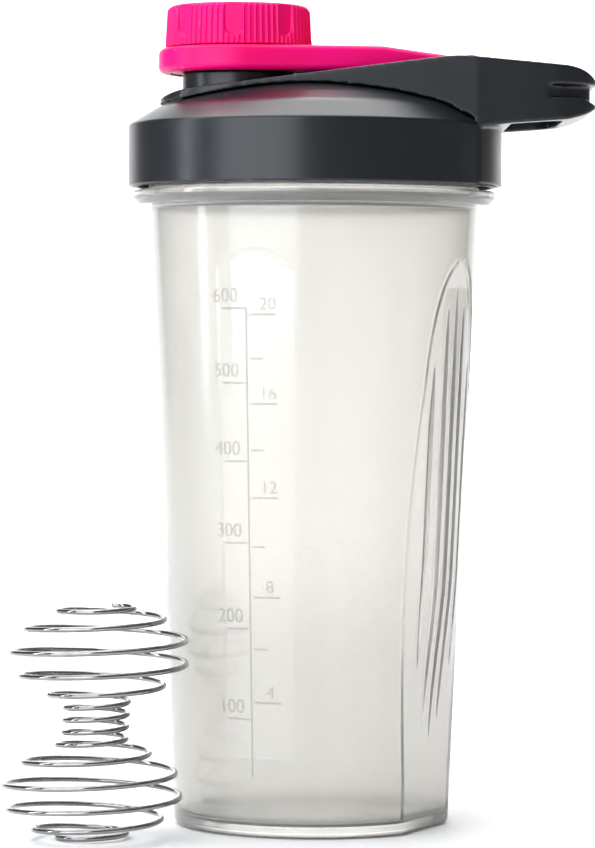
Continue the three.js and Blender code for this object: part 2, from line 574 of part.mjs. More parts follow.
function capArm() {
  const endX = HINGE_X - ARM_END_LENGTH;
  const reach = endX - SPOUT_X;
  const slant = Math.hypot(reach, ARM_END_HALF_WIDTH);
  const tangent = Math.acos(COLLAR_RADIUS / slant) + Math.atan2(ARM_END_HALF_WIDTH, reach);
  const plan = new THREE.Shape();
  plan.absarc(SPOUT_X, 0, COLLAR_RADIUS, tangent, 2 * Math.PI - tangent);
  plan.lineTo(endX, -ARM_END_HALF_WIDTH);
  plan.lineTo(HINGE_X, -ARM_END_HALF_WIDTH);
  plan.lineTo(HINGE_X, ARM_END_HALF_WIDTH);
  plan.lineTo(endX, ARM_END_HALF_WIDTH);
  const frontX = SPOUT_X - COLLAR_RADIUS - PAST;
  const side = new THREE.Shape([
    new THREE.Vector2(frontX, ARM_BOTTOM),
    new THREE.Vector2(HINGE_X, ARM_BOTTOM),
    new THREE.Vector2(HINGE_X, ARM_BOTTOM + ARM_END_THICKNESS),
    new THREE.Vector2(HINGE_X - ARM_SLOPE.end, ARM_BOTTOM + ARM_END_THICKNESS),
    new THREE.Vector2(ARM_SLOPE.start, COLLAR_Z),
    new THREE.Vector2(frontX, COLLAR_Z),
  ]);
  const strap = raised(plan, ARM_BOTTOM, COLLAR_Z, 16)
    .intersect(acrossY(side, COLLAR_RADIUS + PAST));
  const rounding = turned([
    [0, ARM_BOTTOM - PAST],
    [COLLAR_RADIUS - ARM_EDGE, ARM_BOTTOM - PAST],
    [COLLAR_RADIUS - ARM_EDGE, ARM_BOTTOM],
    [COLLAR_RADIUS, ARM_BOTTOM + ARM_EDGE],
    [COLLAR_RADIUS, COLLAR_Z - ARM_EDGE],
    [COLLAR_RADIUS - ARM_EDGE, COLLAR_Z],
    [COLLAR_RADIUS - ARM_EDGE, COLLAR_Z + PAST],
    [0, COLLAR_Z + PAST],
  ]).translate(SPOUT_X, 0, 0);
  const roundingEndX = SPOUT_X + COLLAR_RADIUS * Math.cos(tangent);
  const behind = block([roundingEndX, -COLLAR_RADIUS - PAST, ARM_BOTTOM - PAST],
    [HINGE_X + PAST, COLLAR_RADIUS + PAST, COLLAR_Z + PAST]);
  const knuckle = hingeBar(KNUCKLE_RADIUS, KNUCKLE_HALF_LENGTH, 20);
  const bore = joined([
    post(COLLAR_BORE, ARM_BOTTOM - PAST, COLLAR_Z + PAST),
    post(LIP_BORE, ARM_BOTTOM - PAST, SLEEVE_BOTTOM + SNAP_LIP.height + CAP_LIFT + SNAP_LIP.play),
  ]).translate(SPOUT_X, 0, 0);
  return strap.intersect(rounding.add(behind)).add(knuckle).subtract(bore)
    .subtract(hingeBar(PIN_RADIUS + FIT, KNUCKLE_HALF_LENGTH + PAST));
}

// ---------------------------------------------------------------- screw cap and its sealing disc

function spoutCap() {
  const body = turned([
    [CAP_BORE, SLEEVE_BOTTOM],
    [SLEEVE_RADIUS + SNAP_LIP.reach - SNAP_LIP.lead, SLEEVE_BOTTOM],
    [SLEEVE_RADIUS + SNAP_LIP.reach, SLEEVE_BOTTOM + SNAP_LIP.lead],
    [SLEEVE_RADIUS + SNAP_LIP.reach, SLEEVE_BOTTOM + SNAP_LIP.height],
    [SLEEVE_RADIUS, SLEEVE_BOTTOM + SNAP_LIP.height],
    [SLEEVE_RADIUS, KNOB_BOTTOM],
    [KNOB_RADIUS, KNOB_BOTTOM],
    [KNOB_TOP_RADIUS, KNOB_TOP - KNOB_EDGE],
    [KNOB_TOP_RADIUS - KNOB_EDGE, KNOB_TOP],
    [0, KNOB_TOP],
    [0, KNOB_TOP - KNOB_ROOF],
    [CAP_BORE, KNOB_TOP - KNOB_ROOF],
    [CAP_BORE, SLEEVE_BOTTOM],
  ]);
  const fluteRadius = FLUTES.width / 2;
  const fluteBottom = KNOB_BOTTOM + FLUTE_FOOT + fluteRadius;
  const options = { depth: FLUTE_CUT, bevelEnabled: false, curveSegments: 6 };
  const flutes = [];
  for (let i = 0; i < FLUTES.count; i += 1) {
    const outline = new THREE.Shape();
    outline.moveTo(-fluteRadius, KNOB_TOP + PAST);
    outline.lineTo(-fluteRadius, fluteBottom);
    outline.absarc(0, fluteBottom, fluteRadius, Math.PI, 2 * Math.PI);
    outline.lineTo(fluteRadius, KNOB_TOP + PAST);
    const flute = new THREE.ExtrudeGeometry(outline, options);
    flute.rotateX(Math.PI / 2).translate(0, FLUTES.depth - KNOB_RADIUS, 0);
    const turn = THREE.MathUtils.degToRad(FLUTES.azimuth + 90 + i * 360 / FLUTES.count);
    flutes.push(solidOf(flute.rotateZ(turn)));
  }
  const thread = threadRidges(CAP_THREAD, CAP_BORE, -CAP_THREAD.height, SPOUT_FOOT_Z + CAP_THREAD_BOTTOM);
  return body.subtract(joined(flutes)).add(thread).translate(SPOUT_X, 0, 0);
}

/** The soft disc inside the cap that closes the spout. */
function capSeal() {
  return post(CAP_BORE - DISC_PLAY, SPOUT_TOP + FIT, SPOUT_TOP + FIT + DISC_THICKNESS)
    .translate(SPOUT_X, 0, 0);
}

// ---------------------------------------------------------------- whisk

/** One for the middle of a lobe, falling to nothing at its ends; turns run from the middle. */
function lobe(turns) {
  const away = (Math.abs(turns) - WHISK_LOBE_TURNS) / WHISK_LOBE_SPAN;
  return Math.abs(away) < 1 ? Math.cos(away * Math.PI / 2) : 0;
}

function whiskPath() {
  const path = [];
  const azimuth = THREE.MathUtils.degToRad(WHISK_AZIMUTH);
  const [footX, footY] = [WHISK_DISTANCE * Math.cos(azimuth), WHISK_DISTANCE * Math.sin(azimuth)];
  const step = 2 * WHISK_HALF_TURNS / WHISK_STEPS;
  let z = WIRE_RADIUS;
  for (let i = 0; i <= WHISK_STEPS; i += 1) {
    const turns = i * step - WHISK_HALF_TURNS;
    const radius = THREE.MathUtils.lerp(WHISK_NECK_RADIUS, WHISK_LOBE_RADIUS, lobe(turns));
    const angle = 2 * Math.PI * (turns + WHISK_HALF_TURNS) + Math.PI;
    const x = footX + WHISK_LEAN * z + radius * Math.cos(angle);
    path.push(new THREE.Vector3(x, footY + radius * Math.sin(angle), z));
    const closed = Math.abs(turns) > WHISK_END_TURNS;
    z += step * (closed ? WHISK_END_PITCH : WHISK_PITCH + WHISK_LOBE_PITCH * lobe(turns));
  }
  return new THREE.CatmullRomCurve3(path);
}

/** A springy ball of one polished wire: two open lobes with a close-wound neck between. */
function whisk() {
  const section = new THREE.Shape();
  section.absarc(0, 0, WIRE_RADIUS, 0, 2 * Math.PI);
  const wire = new THREE.ExtrudeGeometry(section, {
    steps: WHISK_STEPS,
    curveSegments: WIRE_SIDES / 2,
    extrudePath: whiskPath(),
  });
  return solidOf(wire);
}

// ---------------------------------------------------------------- assembly

const CLEAR_PLASTIC = 0xdedfdc;
const DARK_PLASTIC = 0x3a3d48;
const PINK = 0xff008c;
const SILICONE = 0xe8e8e4;
const STEEL = 0xb8b8bc;

const bottle = new THREE.Group();
bottle.add(
  piece('cup', cup(), CLEAR_PLASTIC, 0.4),
  piece('lid_gasket', lidGasket(), SILICONE, 0.6),
  piece('lid_shell', lidShell(), DARK_PLASTIC, 0.45),
  piece('handle_frame', handleFrame(), DARK_PLASTIC, 0.45),
  piece('hinge_pin', hingeBar(PIN_RADIUS, pinHalfLength()), STEEL, 0.3, 1),
  piece('cap_arm', capArm(), PINK, 0.4),
  piece('spout_cap', spoutCap(), PINK, 0.4),
  piece('cap_seal', capSeal(), SILICONE, 0.6),
  piece('whisk', whisk(), STEEL, 0.15, 1),
);

export default bottle;
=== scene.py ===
"""The looks of a protein shaker bottle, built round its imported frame.

Outlines are in millimetres, and a mesh turns them into metres when it is made. +Z is up, +X points
to the carry loop, the spout stands towards -X, and the camera looks along +Y.
"""

import math

import bmesh
import bpy
import numpy as np
from mathutils import Matrix, Vector


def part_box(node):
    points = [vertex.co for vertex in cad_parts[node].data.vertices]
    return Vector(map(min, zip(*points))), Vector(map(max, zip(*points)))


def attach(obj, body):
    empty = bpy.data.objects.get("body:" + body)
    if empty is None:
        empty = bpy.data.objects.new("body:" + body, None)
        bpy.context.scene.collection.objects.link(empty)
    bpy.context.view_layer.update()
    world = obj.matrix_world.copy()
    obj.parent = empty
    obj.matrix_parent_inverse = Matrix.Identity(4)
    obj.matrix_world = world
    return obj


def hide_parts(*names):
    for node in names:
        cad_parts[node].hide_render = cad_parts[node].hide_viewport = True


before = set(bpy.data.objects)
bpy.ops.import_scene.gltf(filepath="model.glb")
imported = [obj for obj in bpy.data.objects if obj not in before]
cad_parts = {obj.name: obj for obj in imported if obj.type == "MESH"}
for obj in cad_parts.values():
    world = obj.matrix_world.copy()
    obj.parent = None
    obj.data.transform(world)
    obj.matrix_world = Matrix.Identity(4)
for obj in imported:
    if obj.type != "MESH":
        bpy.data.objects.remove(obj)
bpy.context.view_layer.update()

# ---- sizes taken from the frame, in mm

MM = 0.001


def node_box(node):
    """The lowest and highest corners of a CAD node, in millimetres."""
    low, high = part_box(node)
    return low / MM, high / MM


CUP_HIGH = node_box("cup")[1]
LID_LOW, LID_HIGH = node_box("lid_shell")
FRAME_LOW, FRAME_HIGH = node_box("handle_frame")
ARM_LOW, ARM_HIGH = node_box("cap_arm")
CAP_HIGH = node_box("spout_cap")[1]
SEAL_LOW, SEAL_HIGH = node_box("cap_seal")
PIN_LOW, PIN_HIGH = node_box("hinge_pin")
GASKET_LOW, GASKET_HIGH = node_box("lid_gasket")

FIT = 0.3

CUP_HEIGHT = CUP_HIGH.z
COLLAR_RADIUS = CUP_HIGH.x
COLLAR_TOP = CUP_HEIGHT - 15.4
COLLAR_BOTTOM = COLLAR_TOP - 4.3
NECK_RADIUS = COLLAR_RADIUS - 4.7
NECK_BORE = NECK_RADIUS - 2
SIDE_SLOPE = 0.0447
BASE_RADIUS = NECK_RADIUS - 0.31 - SIDE_SLOPE * COLLAR_BOTTOM
CUP_WALL = 1.8
CUP_FLOOR = 3
HEEL_RADIUS = 3
GRIP_TOP = 151
GRIP_AZIMUTHS = (-26, 154)
LID_THREAD = {"lead": 9, "turns": 0.75, "root_width": 2.4, "crest_width": 1.0}
LID_THREAD_Z = 1.55
LID_THREAD_HEIGHT = 1.6

SKIRT_BOTTOM = LID_LOW.z
SKIRT_RADIUS = -LID_LOW.x
SKIRT_BORE = SKIRT_RADIUS - 2.4
SPOUT_TOP = LID_HIGH.z
SPOUT_X = (SEAL_LOW.x + SEAL_HIGH.x) / 2
SPOUT_RADIUS = 15
SPOUT_ROOT = 13.6
SPOUT_BORE = 11.3
CROWN_Z = CAP_HIGH.z - 21.2
SHOULDER_Z = CROWN_Z - 10.5
ROOF_WALL = 2.3
GASKET_WIDTH = 3.7
RECESS_RADIUS = SKIRT_RADIUS - 1.2
CAP_THREAD = {"lead": 6, "turns": 0.26, "root_width": 1.6, "crest_width": 0.7}
CAP_THREAD_Z = 2.4
CAP_THREAD_HEIGHT = 1.1

FRAME_HALF_WIDTH = FRAME_HIGH.y
LOOP_END_X = FRAME_HIGH.x
LOOP_BAR_X = LOOP_END_X - 8.8
LOOP_HOLE_X = LOOP_BAR_X - 14
FRAME_NOSE_RADIUS = SPOUT_X - FRAME_LOW.x
FRAME_REAR_X = math.sqrt(SKIRT_RADIUS**2 - FRAME_HALF_WIDTH**2)
RAIL_WALL = 3.6
RAIL_SLOPE = 0.121
LOOP_WALL = 4.6
LOOP_CORNER = 12
RAIL_TOP = CROWN_Z + 6.8
DECK_Z = CROWN_Z + 2.2

HINGE_X = (PIN_LOW.x + PIN_HIGH.x) / 2
HINGE_Z = (PIN_LOW.z + PIN_HIGH.z) / 2
PIN_RADIUS = (PIN_HIGH.x - PIN_LOW.x) / 2
KNUCKLE_RADIUS = ARM_HIGH.x - HINGE_X
KNUCKLE_HALF_LENGTH = 14
LUG_RADIUS = 2.8
LUG_DROP = 0.7         # the lugs are centred this far below the pin

ARM_TOP = ARM_HIGH.z
ARM_BOTTOM = DECK_Z + 1
ARM_RADIUS = SPOUT_X - ARM_LOW.x
ARM_END_HALF_WIDTH = 13
ARM_END_TOP = ARM_BOTTOM + 4.4
ARM_SLOPE_X = 18

KNOB_BOTTOM = ARM_TOP + FIT
KNOB_TOP = CAP_HIGH.z
KNOB_RADIUS = 19.7
KNOB_TOP_RADIUS = 19.1
KNOB_ROOF = 2
SLEEVE_RADIUS = 16.8
SLEEVE_BOTTOM = ARM_BOTTOM + FIT
CAP_BORE = 15.1
FLUTE_COUNT = 8
FLUTE_WIDTH = 4.9
FLUTE_DEPTH = 1.3
FLUTE_AZIMUTH = math.radians(-93.5)

# ---- outlines and meshes


def arc(centre, radius, start, end, steps):
    """Points on a round stretch about centre, between two angles in degrees."""
    angles = np.radians(np.linspace(start, end, steps + 1))
    return [(centre[0] + radius * math.cos(a), centre[1] + radius * math.sin(a)) for a in angles]


def bend(start, middle, end, steps=10):
    """Points on a quadratic curve, without its first point."""
    start, middle, end = (np.array(p, float) for p in (start, middle, end))
    share = np.linspace(0, 1, steps + 1)[1:, None]
    points = (1 - share) ** 2 * start + 2 * share * (1 - share) * middle + share**2 * end
    return [tuple(p) for p in points]


def rounded(corners, closed=False, steps=6, hold=0.3):
    """An outline of (across, up, rounding) corners, each rounded and held by a point on either side."""
    count = len(corners)
    outline = []
    for i, (across, up, rounding) in enumerate(corners):
        corner = np.array((across, up), float)
        if rounding == 0 or (not closed and i in (0, count - 1)):
            outline.append(tuple(corner))
            continue
        before = np.array(corners[i - 1][:2], float) - corner
        after = np.array(corners[(i + 1) % count][:2], float) - corner
        reach_before, reach_after = np.linalg.norm(before), np.linalg.norm(after)
        before, after = before / reach_before, after / reach_after
        opening = math.acos(max(-1.0, min(1.0, float(before @ after))))
        cut = min(rounding / math.tan(opening / 2), 0.45 * reach_before, 0.45 * reach_after)
        held = min(hold, 0.04 * min(reach_before, reach_after))
        first, last = corner + before * cut, corner + after * cut
        outline.append(tuple(first + before * held))
        outline.append(tuple(first))
        outline.extend(bend(first, corner, last, steps))
        outline.append(tuple(last + after * held))
    return outline


def refined(outline, step):
    """The same outline with no stretch longer than step."""
    fine = [outline[0]]
    for start, end in zip(outline, outline[1:]):
        parts = max(1, math.ceil(math.dist(start, end) / step))
        share = np.linspace(0, 1, parts + 1)[1:, None]
        fine.extend(tuple(p) for p in np.array(start) + share * (np.array(end) - np.array(start)))
    return fine


def even_angles(count):
    return np.linspace(-math.pi, math.pi, count, endpoint=False)


def bands(grid):
    """Faces between the rows of a grid of points, each row a closed ring."""
    beside = np.roll(grid, -1, axis=1)
    return np.stack([grid[:-1], beside[:-1], beside[1:], grid[1:]], axis=-1).reshape(-1, 4).tolist()


def turned(outline, angles, shape=None, closed=False, centre=(0, 0)):
    """Points and faces of an outline of (radius, z), listed up the outside, turned about +Z."""
    outline = np.array(outline, float)
    rows, columns = len(outline), len(angles)
    radius = np.repeat(outline[:, :1], columns, axis=1)
    z = np.repeat(outline[:, 1:], columns, axis=1)
    angle = np.repeat(np.array(angles)[None, :], rows, axis=0)
    if shape:
        radius, z = shape(radius, z, angle)
    x, y = centre[0] + radius * np.cos(angle), centre[1] + radius * np.sin(angle)
    points = np.stack([x, y, z], axis=-1).reshape(-1, 3)
    grid = np.arange(rows * columns).reshape(rows, columns)
    if closed:
        grid = np.vstack([grid, grid[:1]])
    return points, bands(grid)


THREAD_STARTS = 2
THREAD_BURIED = 0.4    # how far a ridge's root reaches into its wall
THREAD_STEPS = 160     # sections in a full turn


def thread(root, height, bottom, sizes, centre=(0, 0)):
    """Thread ridges on a wall: height is negative for ridges that point inwards."""
    buried = root - math.copysign(THREAD_BURIED, height)
    half_root, half_crest = sizes["root_width"] / 2, sizes["crest_width"] / 2
    section = rounded(
        [(buried, -half_root, 0), (root + height, -half_crest, 0.25),
         (root + height, half_crest, 0.25), (buried, half_root, 0)],
        closed=True, steps=3, hold=0.02,
    )
    steps = math.ceil(sizes["turns"] * THREAD_STEPS)
    points, faces = [], []
    for start in range(THREAD_STARTS):
        first = len(points)
        for i in range(steps + 1):
            along = i / steps
            fade = min(1, 0.2 + 10 * min(along, 1 - along))
            angle = 2 * math.pi * (sizes["turns"] * along + start / THREAD_STARTS)
            middle = bottom + sizes["lead"] * sizes["turns"] * along
            for across, up in section:
                radius = buried + (across - buried) * fade
                points.append((centre[0] + radius * math.cos(angle),
                               centre[1] + radius * math.sin(angle),
                               middle + up * (0.5 + fade / 2)))
        size = len(section)
        for i in range(steps):
            for k in range(size):
                low, high = first + i * size, first + (i + 1) * size
                faces.append((low + k, low + (k + 1) % size, high + (k + 1) % size, high + k))
        faces.append(tuple(first + k for k in range(size)))
        faces.append(tuple(first + steps * size + k for k in reversed(range(size))))
    return np.array(points), faces


def swept(path, radius, sides):
    """A round wire along a path, with domed ends."""
    path = np.array(path, float)
    tangents = np.gradient(path, axis=0)
    tangents /= np.linalg.norm(tangents, axis=1)[:, None]
    side = np.cross(tangents[0], (0, 0, 1))
    side /= np.linalg.norm(side)
    centres, scales, frames = [], [], []
    for point, tangent in zip(path, tangents):
        side = side - tangent * (side @ tangent)
        side /= np.linalg.norm(side)
        centres.append(point)
        scales.append(1.0)
        frames.append((side, np.cross(tangent, side)))
    for lift in np.linspace(15, 75, 4):
        beyond, drawn = radius * math.sin(math.radians(lift)), math.cos(math.radians(lift))
        centres.insert(0, path[0] - tangents[0] * beyond)
        centres.append(path[-1] + tangents[-1] * beyond)
        scales.insert(0, drawn)
        scales.append(drawn)
        frames.insert(0, frames[0])
        frames.append(frames[-1])
    turn = np.linspace(0, 2 * math.pi, sides, endpoint=False)
    rings = [c + radius * s * (np.outer(np.cos(turn), a) + np.outer(np.sin(turn), b))
             for c, s, (a, b) in zip(centres, scales, frames)]
    points = np.concatenate(rings)
    grid = np.arange(len(points)).reshape(len(rings), sides)
    faces = bands(grid)
    faces.append(tuple(reversed(grid[0].tolist())))
    faces.append(tuple(grid[-1].tolist()))
    return points, faces


def mesh_of(name, *shells):
    """One mesh, in metres, from shells of points and faces, with its doubled points merged."""
    points, faces = [], []
    for shell_points, shell_faces in shells:
        first = sum(len(p) for p in points)
        points.append(np.asarray(shell_points, float) * MM)
        faces.extend([tuple(first + corner for corner in face) for face in shell_faces])
    mesh = bpy.data.meshes.new(name)
    mesh.from_pydata(np.concatenate(points).tolist(), [], faces)
    work = bmesh.new()
    work.from_mesh(mesh)
    bmesh.ops.remove_doubles(work, verts=work.verts, dist=1e-8)
    bmesh.ops.dissolve_degenerate(work, edges=work.edges, dist=1e-8)
    bmesh.ops.recalc_face_normals(work, faces=work.faces)
    work.to_mesh(mesh)
    work.free()
    mesh.shade_smooth()
    return mesh


def add_object(name, mesh):
    piece = bpy.data.objects.new(name, mesh)
    bpy.context.scene.collection.objects.link(piece)
    return piece


def show(name, mesh, finish, body, slot, *nodes):
    """Puts a mesh in the scene as a piece of the object, in its finish, on its body."""
    piece = add_object(name, mesh)
    mesh.materials.clear()
    mesh.materials.append(finish)
    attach(piece, body)
    if nodes:
        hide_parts(*nodes)
    return piece


# ---- solids that are cut and joined


def between(first, last):
    """The solid between two outlines that have the same points, set apart."""
    count = len(first)
    faces = [(i, (i + 1) % count, count + (i + 1) % count, count + i) for i in range(count)]
    faces += [tuple(reversed(range(count))), tuple(range(count, 2 * count))]
    return add_object("solid", mesh_of("solid", (first + last, faces)))


def prism(outline, low, high):
    """A plan outline in X and Y raised from one height to another."""
    return between([(x, y, low) for x, y in outline], [(x, y, high) for x, y in outline])


def across_y(outline, low, high):
    """A side outline in X and Z, from one place along Y to another."""
    return between([(x, low, z) for x, z in outline], [(x, high, z) for x, z in outline])


def block(low, high):
    (x0, y0, z0), (x1, y1, z1) = low, high
    return prism([(x0, y0), (x1, y0), (x1, y1), (x0, y1)], z0, z1)


def turned_solid(outline, sides=180, centre=(0, 0)):
    return add_object("solid", mesh_of("solid", turned(outline, even_angles(sides), centre=centre)))


def post(radius, low, high, sides=180, centre=(0, 0)):
    return turned_solid([(0, low), (radius, low), (radius, high), (0, high)], sides, centre)


def bar_y(radius, half_length, sides=64):
    """A round bar on the hinge's axis."""
    outline = arc((HINGE_X, HINGE_Z), radius, 0, 360 - 360 / sides, sides - 1)
    return across_y(outline, -half_length, half_length)


def combine(solid, tool, operation):
    """Joins, cuts or intersects two solids and drops the second."""
    modifier = solid.modifiers.new("combine", "BOOLEAN")
    modifier.operation = operation
    modifier.object = tool
    modifier.solver = "MANIFOLD"
    settle(solid)
    bpy.data.objects.remove(tool)
    return solid


def settle(piece):
    """Applies an object's modifiers."""
    graph = bpy.context.evaluated_depsgraph_get()
    mesh = bpy.data.meshes.new_from_object(piece.evaluated_get(graph))
    piece.modifiers.clear()
    piece.data = mesh


def softened(solid, voxel, smoothing):
    """The mesh of a solid with its edges rounded, as a moulding has them."""
    remesh = solid.modifiers.new("even", "REMESH")
    remesh.mode = "VOXEL"
    remesh.voxel_size = voxel * MM
    smooth = solid.modifiers.new("soften", "SMOOTH")
    smooth.factor = 0.5
    smooth.iterations = smoothing
    settle(solid)
    mesh = solid.data
    bpy.data.objects.remove(solid)
    mesh.shade_smooth()
    return mesh


# ---- materials


def add_node(tree, kind, **settings):
    """A shader node with its properties and its inputs' values set by name."""
    node = tree.nodes.new(kind)
    for name, value in settings.items():
        if hasattr(node, name):
            setattr(node, name, value)
        else:
            node.inputs[name.replace("_", " ").title()].default_value = value
    return node


def new_finish(name, **sockets):
    """A Principled material and its tree, with the constant sockets set on the shader itself."""
    finish = bpy.data.materials.new(name)
    finish.use_nodes = True
    shader = finish.node_tree.nodes["Principled BSDF"]
    for socket, value in sockets.items():
        shader.inputs[socket.replace("_", " ")].default_value = value
    return finish, finish.node_tree, shader


def object_noise(tree, scale, detail=2.0, stretch=(1, 1, 1)):
    """Noise fixed to the object, with its scale in cells per metre."""
    place = add_node(tree, "ShaderNodeTexCoord")
    mapping = add_node(tree, "ShaderNodeMapping")
    mapping.inputs["Scale"].default_value = stretch
    noise = add_node(tree, "ShaderNodeTexNoise", scale=scale, detail=detail)
    tree.links.new(place.outputs["Object"], mapping.inputs["Vector"])
    tree.links.new(mapping.outputs["Vector"], noise.inputs["Vector"])
    return noise.outputs[0]


def ramp(tree, source, stops):
    """A colour ramp of (place, colour) stops driven by a value."""
    node = add_node(tree, "ShaderNodeValToRGB")
    elements = node.color_ramp.elements
    while len(elements) < len(stops):
        elements.new(0.5)
    for element, (place, colour) in zip(elements, stops):
        element.position = place
        element.color = (*colour, 1)
    tree.links.new(source, node.inputs["Fac"])
    return node.outputs["Color"]


def mixed(tree, factor, first, second):
    """Two colours mixed by a factor; each is a socket or a plain colour."""
    node = add_node(tree, "ShaderNodeMix", data_type="RGBA")
    tree.links.new(factor, node.inputs["Factor"])
    for value, socket in ((first, node.inputs[6]), (second, node.inputs[7])):
        if isinstance(value, tuple):
            socket.default_value = (*value, 1)
        else:
            tree.links.new(value, socket)
    return node.outputs[2]


def spread(tree, source, low, high):
    """A value from 0 to 1 spread between two numbers."""
    node = add_node(tree, "ShaderNodeMapRange")
    node.inputs["To Min"].default_value = low
    node.inputs["To Max"].default_value = high
    tree.links.new(source, node.inputs["Value"])
    return node.outputs["Result"]


def grain(tree, shader, layers):
    """Bump from layers of (scale, strength, depth in mm, stretch)."""
    last = None
    for scale, strength, depth, stretch in layers:
        bump = add_node(tree, "ShaderNodeBump", strength=strength, distance=depth * MM)
        tree.links.new(object_noise(tree, scale, 3.0, stretch), bump.inputs["Height"])
        if last:
            tree.links.new(last, bump.inputs["Normal"])
        last = bump.outputs["Normal"]
    tree.links.new(last, shader.inputs["Normal"])


def worn_edges(tree, colour, highlight_colour, low, high):
    """Mixes a lighter colour in along the piece's sharp outer edges: a painted highlight where rounded
    edges catch light.
    """
    geometry = add_node(tree, "ShaderNodeNewGeometry")
    edge = ramp(tree, geometry.outputs["Pointiness"], [(low, (0, 0, 0)), (high, (1, 1, 1))])
    return mixed(tree, edge, colour, highlight_colour)


EVEN = (1, 1, 1)       # noise that isn't stretched


def coated(name, cells, colours, edge, gloss, layers, **sockets):
    """A finish with patches of two colours, uneven gloss, bump, and a painted highlight along its sharp
    edges if one is given.
    """
    finish, tree, shader = new_finish(name, **sockets)
    first, second = colours
    colour = ramp(tree, object_noise(tree, cells, 3.0), [(0.3, first), (0.7, second)])
    # the edge colour is a painted highlight laid along the sharp outer edges
    if edge:
        colour = worn_edges(tree, colour, *edge)
    tree.links.new(colour, shader.inputs["Base Color"])
    gloss_cells, low, high = gloss
    roughness = spread(tree, object_noise(tree, gloss_cells, 4.0), low, high)
    tree.links.new(roughness, shader.inputs["Roughness"])
    grain(tree, shader, layers)
    return finish


def dark_plastic():
    return coated(
        "dark_plastic", 45, ((0.006, 0.0075, 0.01), (0.009, 0.011, 0.0145)),
        # lighter colour and pointiness range: a painted highlight along the sharp edges
        ((0.1, 0.105, 0.12), 0.55, 0.64), (160, 0.25, 0.34),
        [(900, 0.12, 0.06, EVEN), (3200, 0.1, 0.03, EVEN)], IOR=1.49,
    )


def pink_plastic():
    return coated(
        "pink_plastic", 60, ((0.9, 0.0, 0.155), (0.97, 0.0, 0.21)),
        # lighter colour and pointiness range: a painted highlight along the sharp edges
        ((1.0, 0.06, 0.36), 0.53, 0.62), (200, 0.34, 0.46),
        [(1100, 0.08, 0.05, EVEN), (3500, 0.06, 0.02, EVEN)],
        IOR=1.49, Specular_IOR_Level=0.22, Subsurface_Weight=0.06,
        Subsurface_Radius=(1.0, 0.15, 0.3), Subsurface_Scale=0.0015,
    )


def cup_plastic():
    finish, tree, shader = new_finish("cup_plastic", IOR=1.45, Transmission_Weight=0.86)
    patches = object_noise(tree, 26, 3.0, (1, 1, 0.4))
    frosted = ramp(tree, patches, [(0.3, (0.775, 0.762, 0.732)), (0.7, (0.805, 0.79, 0.758))])
    shine = add_node(tree, "ShaderNodeAttribute", attribute_name="polished")
    colour = mixed(tree, shine.outputs["Fac"], frosted, (0.85, 0.84, 0.815))
    tree.links.new(colour, shader.inputs["Base Color"])
    frost = spread(tree, object_noise(tree, 300, 4.0), 0.13, 0.18)
    clear = spread(tree, object_noise(tree, 300, 4.0), 0.06, 0.1)
    gloss = add_node(tree, "ShaderNodeMix", data_type="FLOAT")
    tree.links.new(shine.outputs["Fac"], gloss.inputs["Factor"])
    tree.links.new(frost, gloss.inputs[2])
    tree.links.new(clear, gloss.inputs[3])
    tree.links.new(gloss.outputs[0], shader.inputs["Roughness"])
    grain(tree, shader, [(500, 0.08, 0.08, (1, 1, 0.5)), (2600, 0.08, 0.03, EVEN)])
    return finish


def steel(name, dark, light, low, high):
    return coated(
        name, 220, (dark, light), None, (700, low, high),
        [(1400, 0.05, 0.02, (1, 1, 4)), (4200, 0.04, 0.01, EVEN)], Metallic=1.0,
    )


def silicone():
    return coated(
        "silicone", 90, ((0.74, 0.74, 0.71), (0.82, 0.82, 0.79)), None, (260, 0.5, 0.64),
        [(1500, 0.12, 0.04, EVEN)], IOR=1.41, Subsurface_Weight=0.35, Subsurface_Scale=0.001,
        Subsurface_Radius=(1.0, 0.9, 0.8),
    )


# ---- cup


def wall_radius(z):
    return BASE_RADIUS + SIDE_SLOPE * z


def smoothstep(value, low, high):
    share = np.clip((value - low) / (high - low), 0, 1)
    return share * share * (3 - 2 * share)


def away_from(angle, azimuth):
    """Degrees between an angle in radians and an azimuth in degrees, with its sign."""
    return (np.degrees(angle) - azimuth + 540) % 360 - 180


GROOVES = [  # millimetres across the panel, lowest and highest point
    (-11, 43, 125), (-5, 28, 140), (0, 23.5, 145.5), (5, 28, 140), (11, 43, 125),
]
GROOVE_HALF_WIDTH = 1.3
GROOVE_DEPTH = 1.0
BORDER_DEPTH = 0.34
BORDER_WIDTH = 0.6
GRIP_HALF_ANGLE = 22.6
GRIP_SWELL = 4.4       # degrees more at the panel's widest
GRIP_DEPTH = 0.9       # how far the upper part of a panel is sunk


def grip_half_angle(climb):
    """Half width of a panel, in degrees, at a share of its height."""
    swell = GRIP_SWELL * np.sin(math.pi * np.minimum(1, climb * 1.3))
    return (GRIP_HALF_ANGLE + swell) * np.sqrt(np.maximum(1 - climb**6.5, 1e-9))


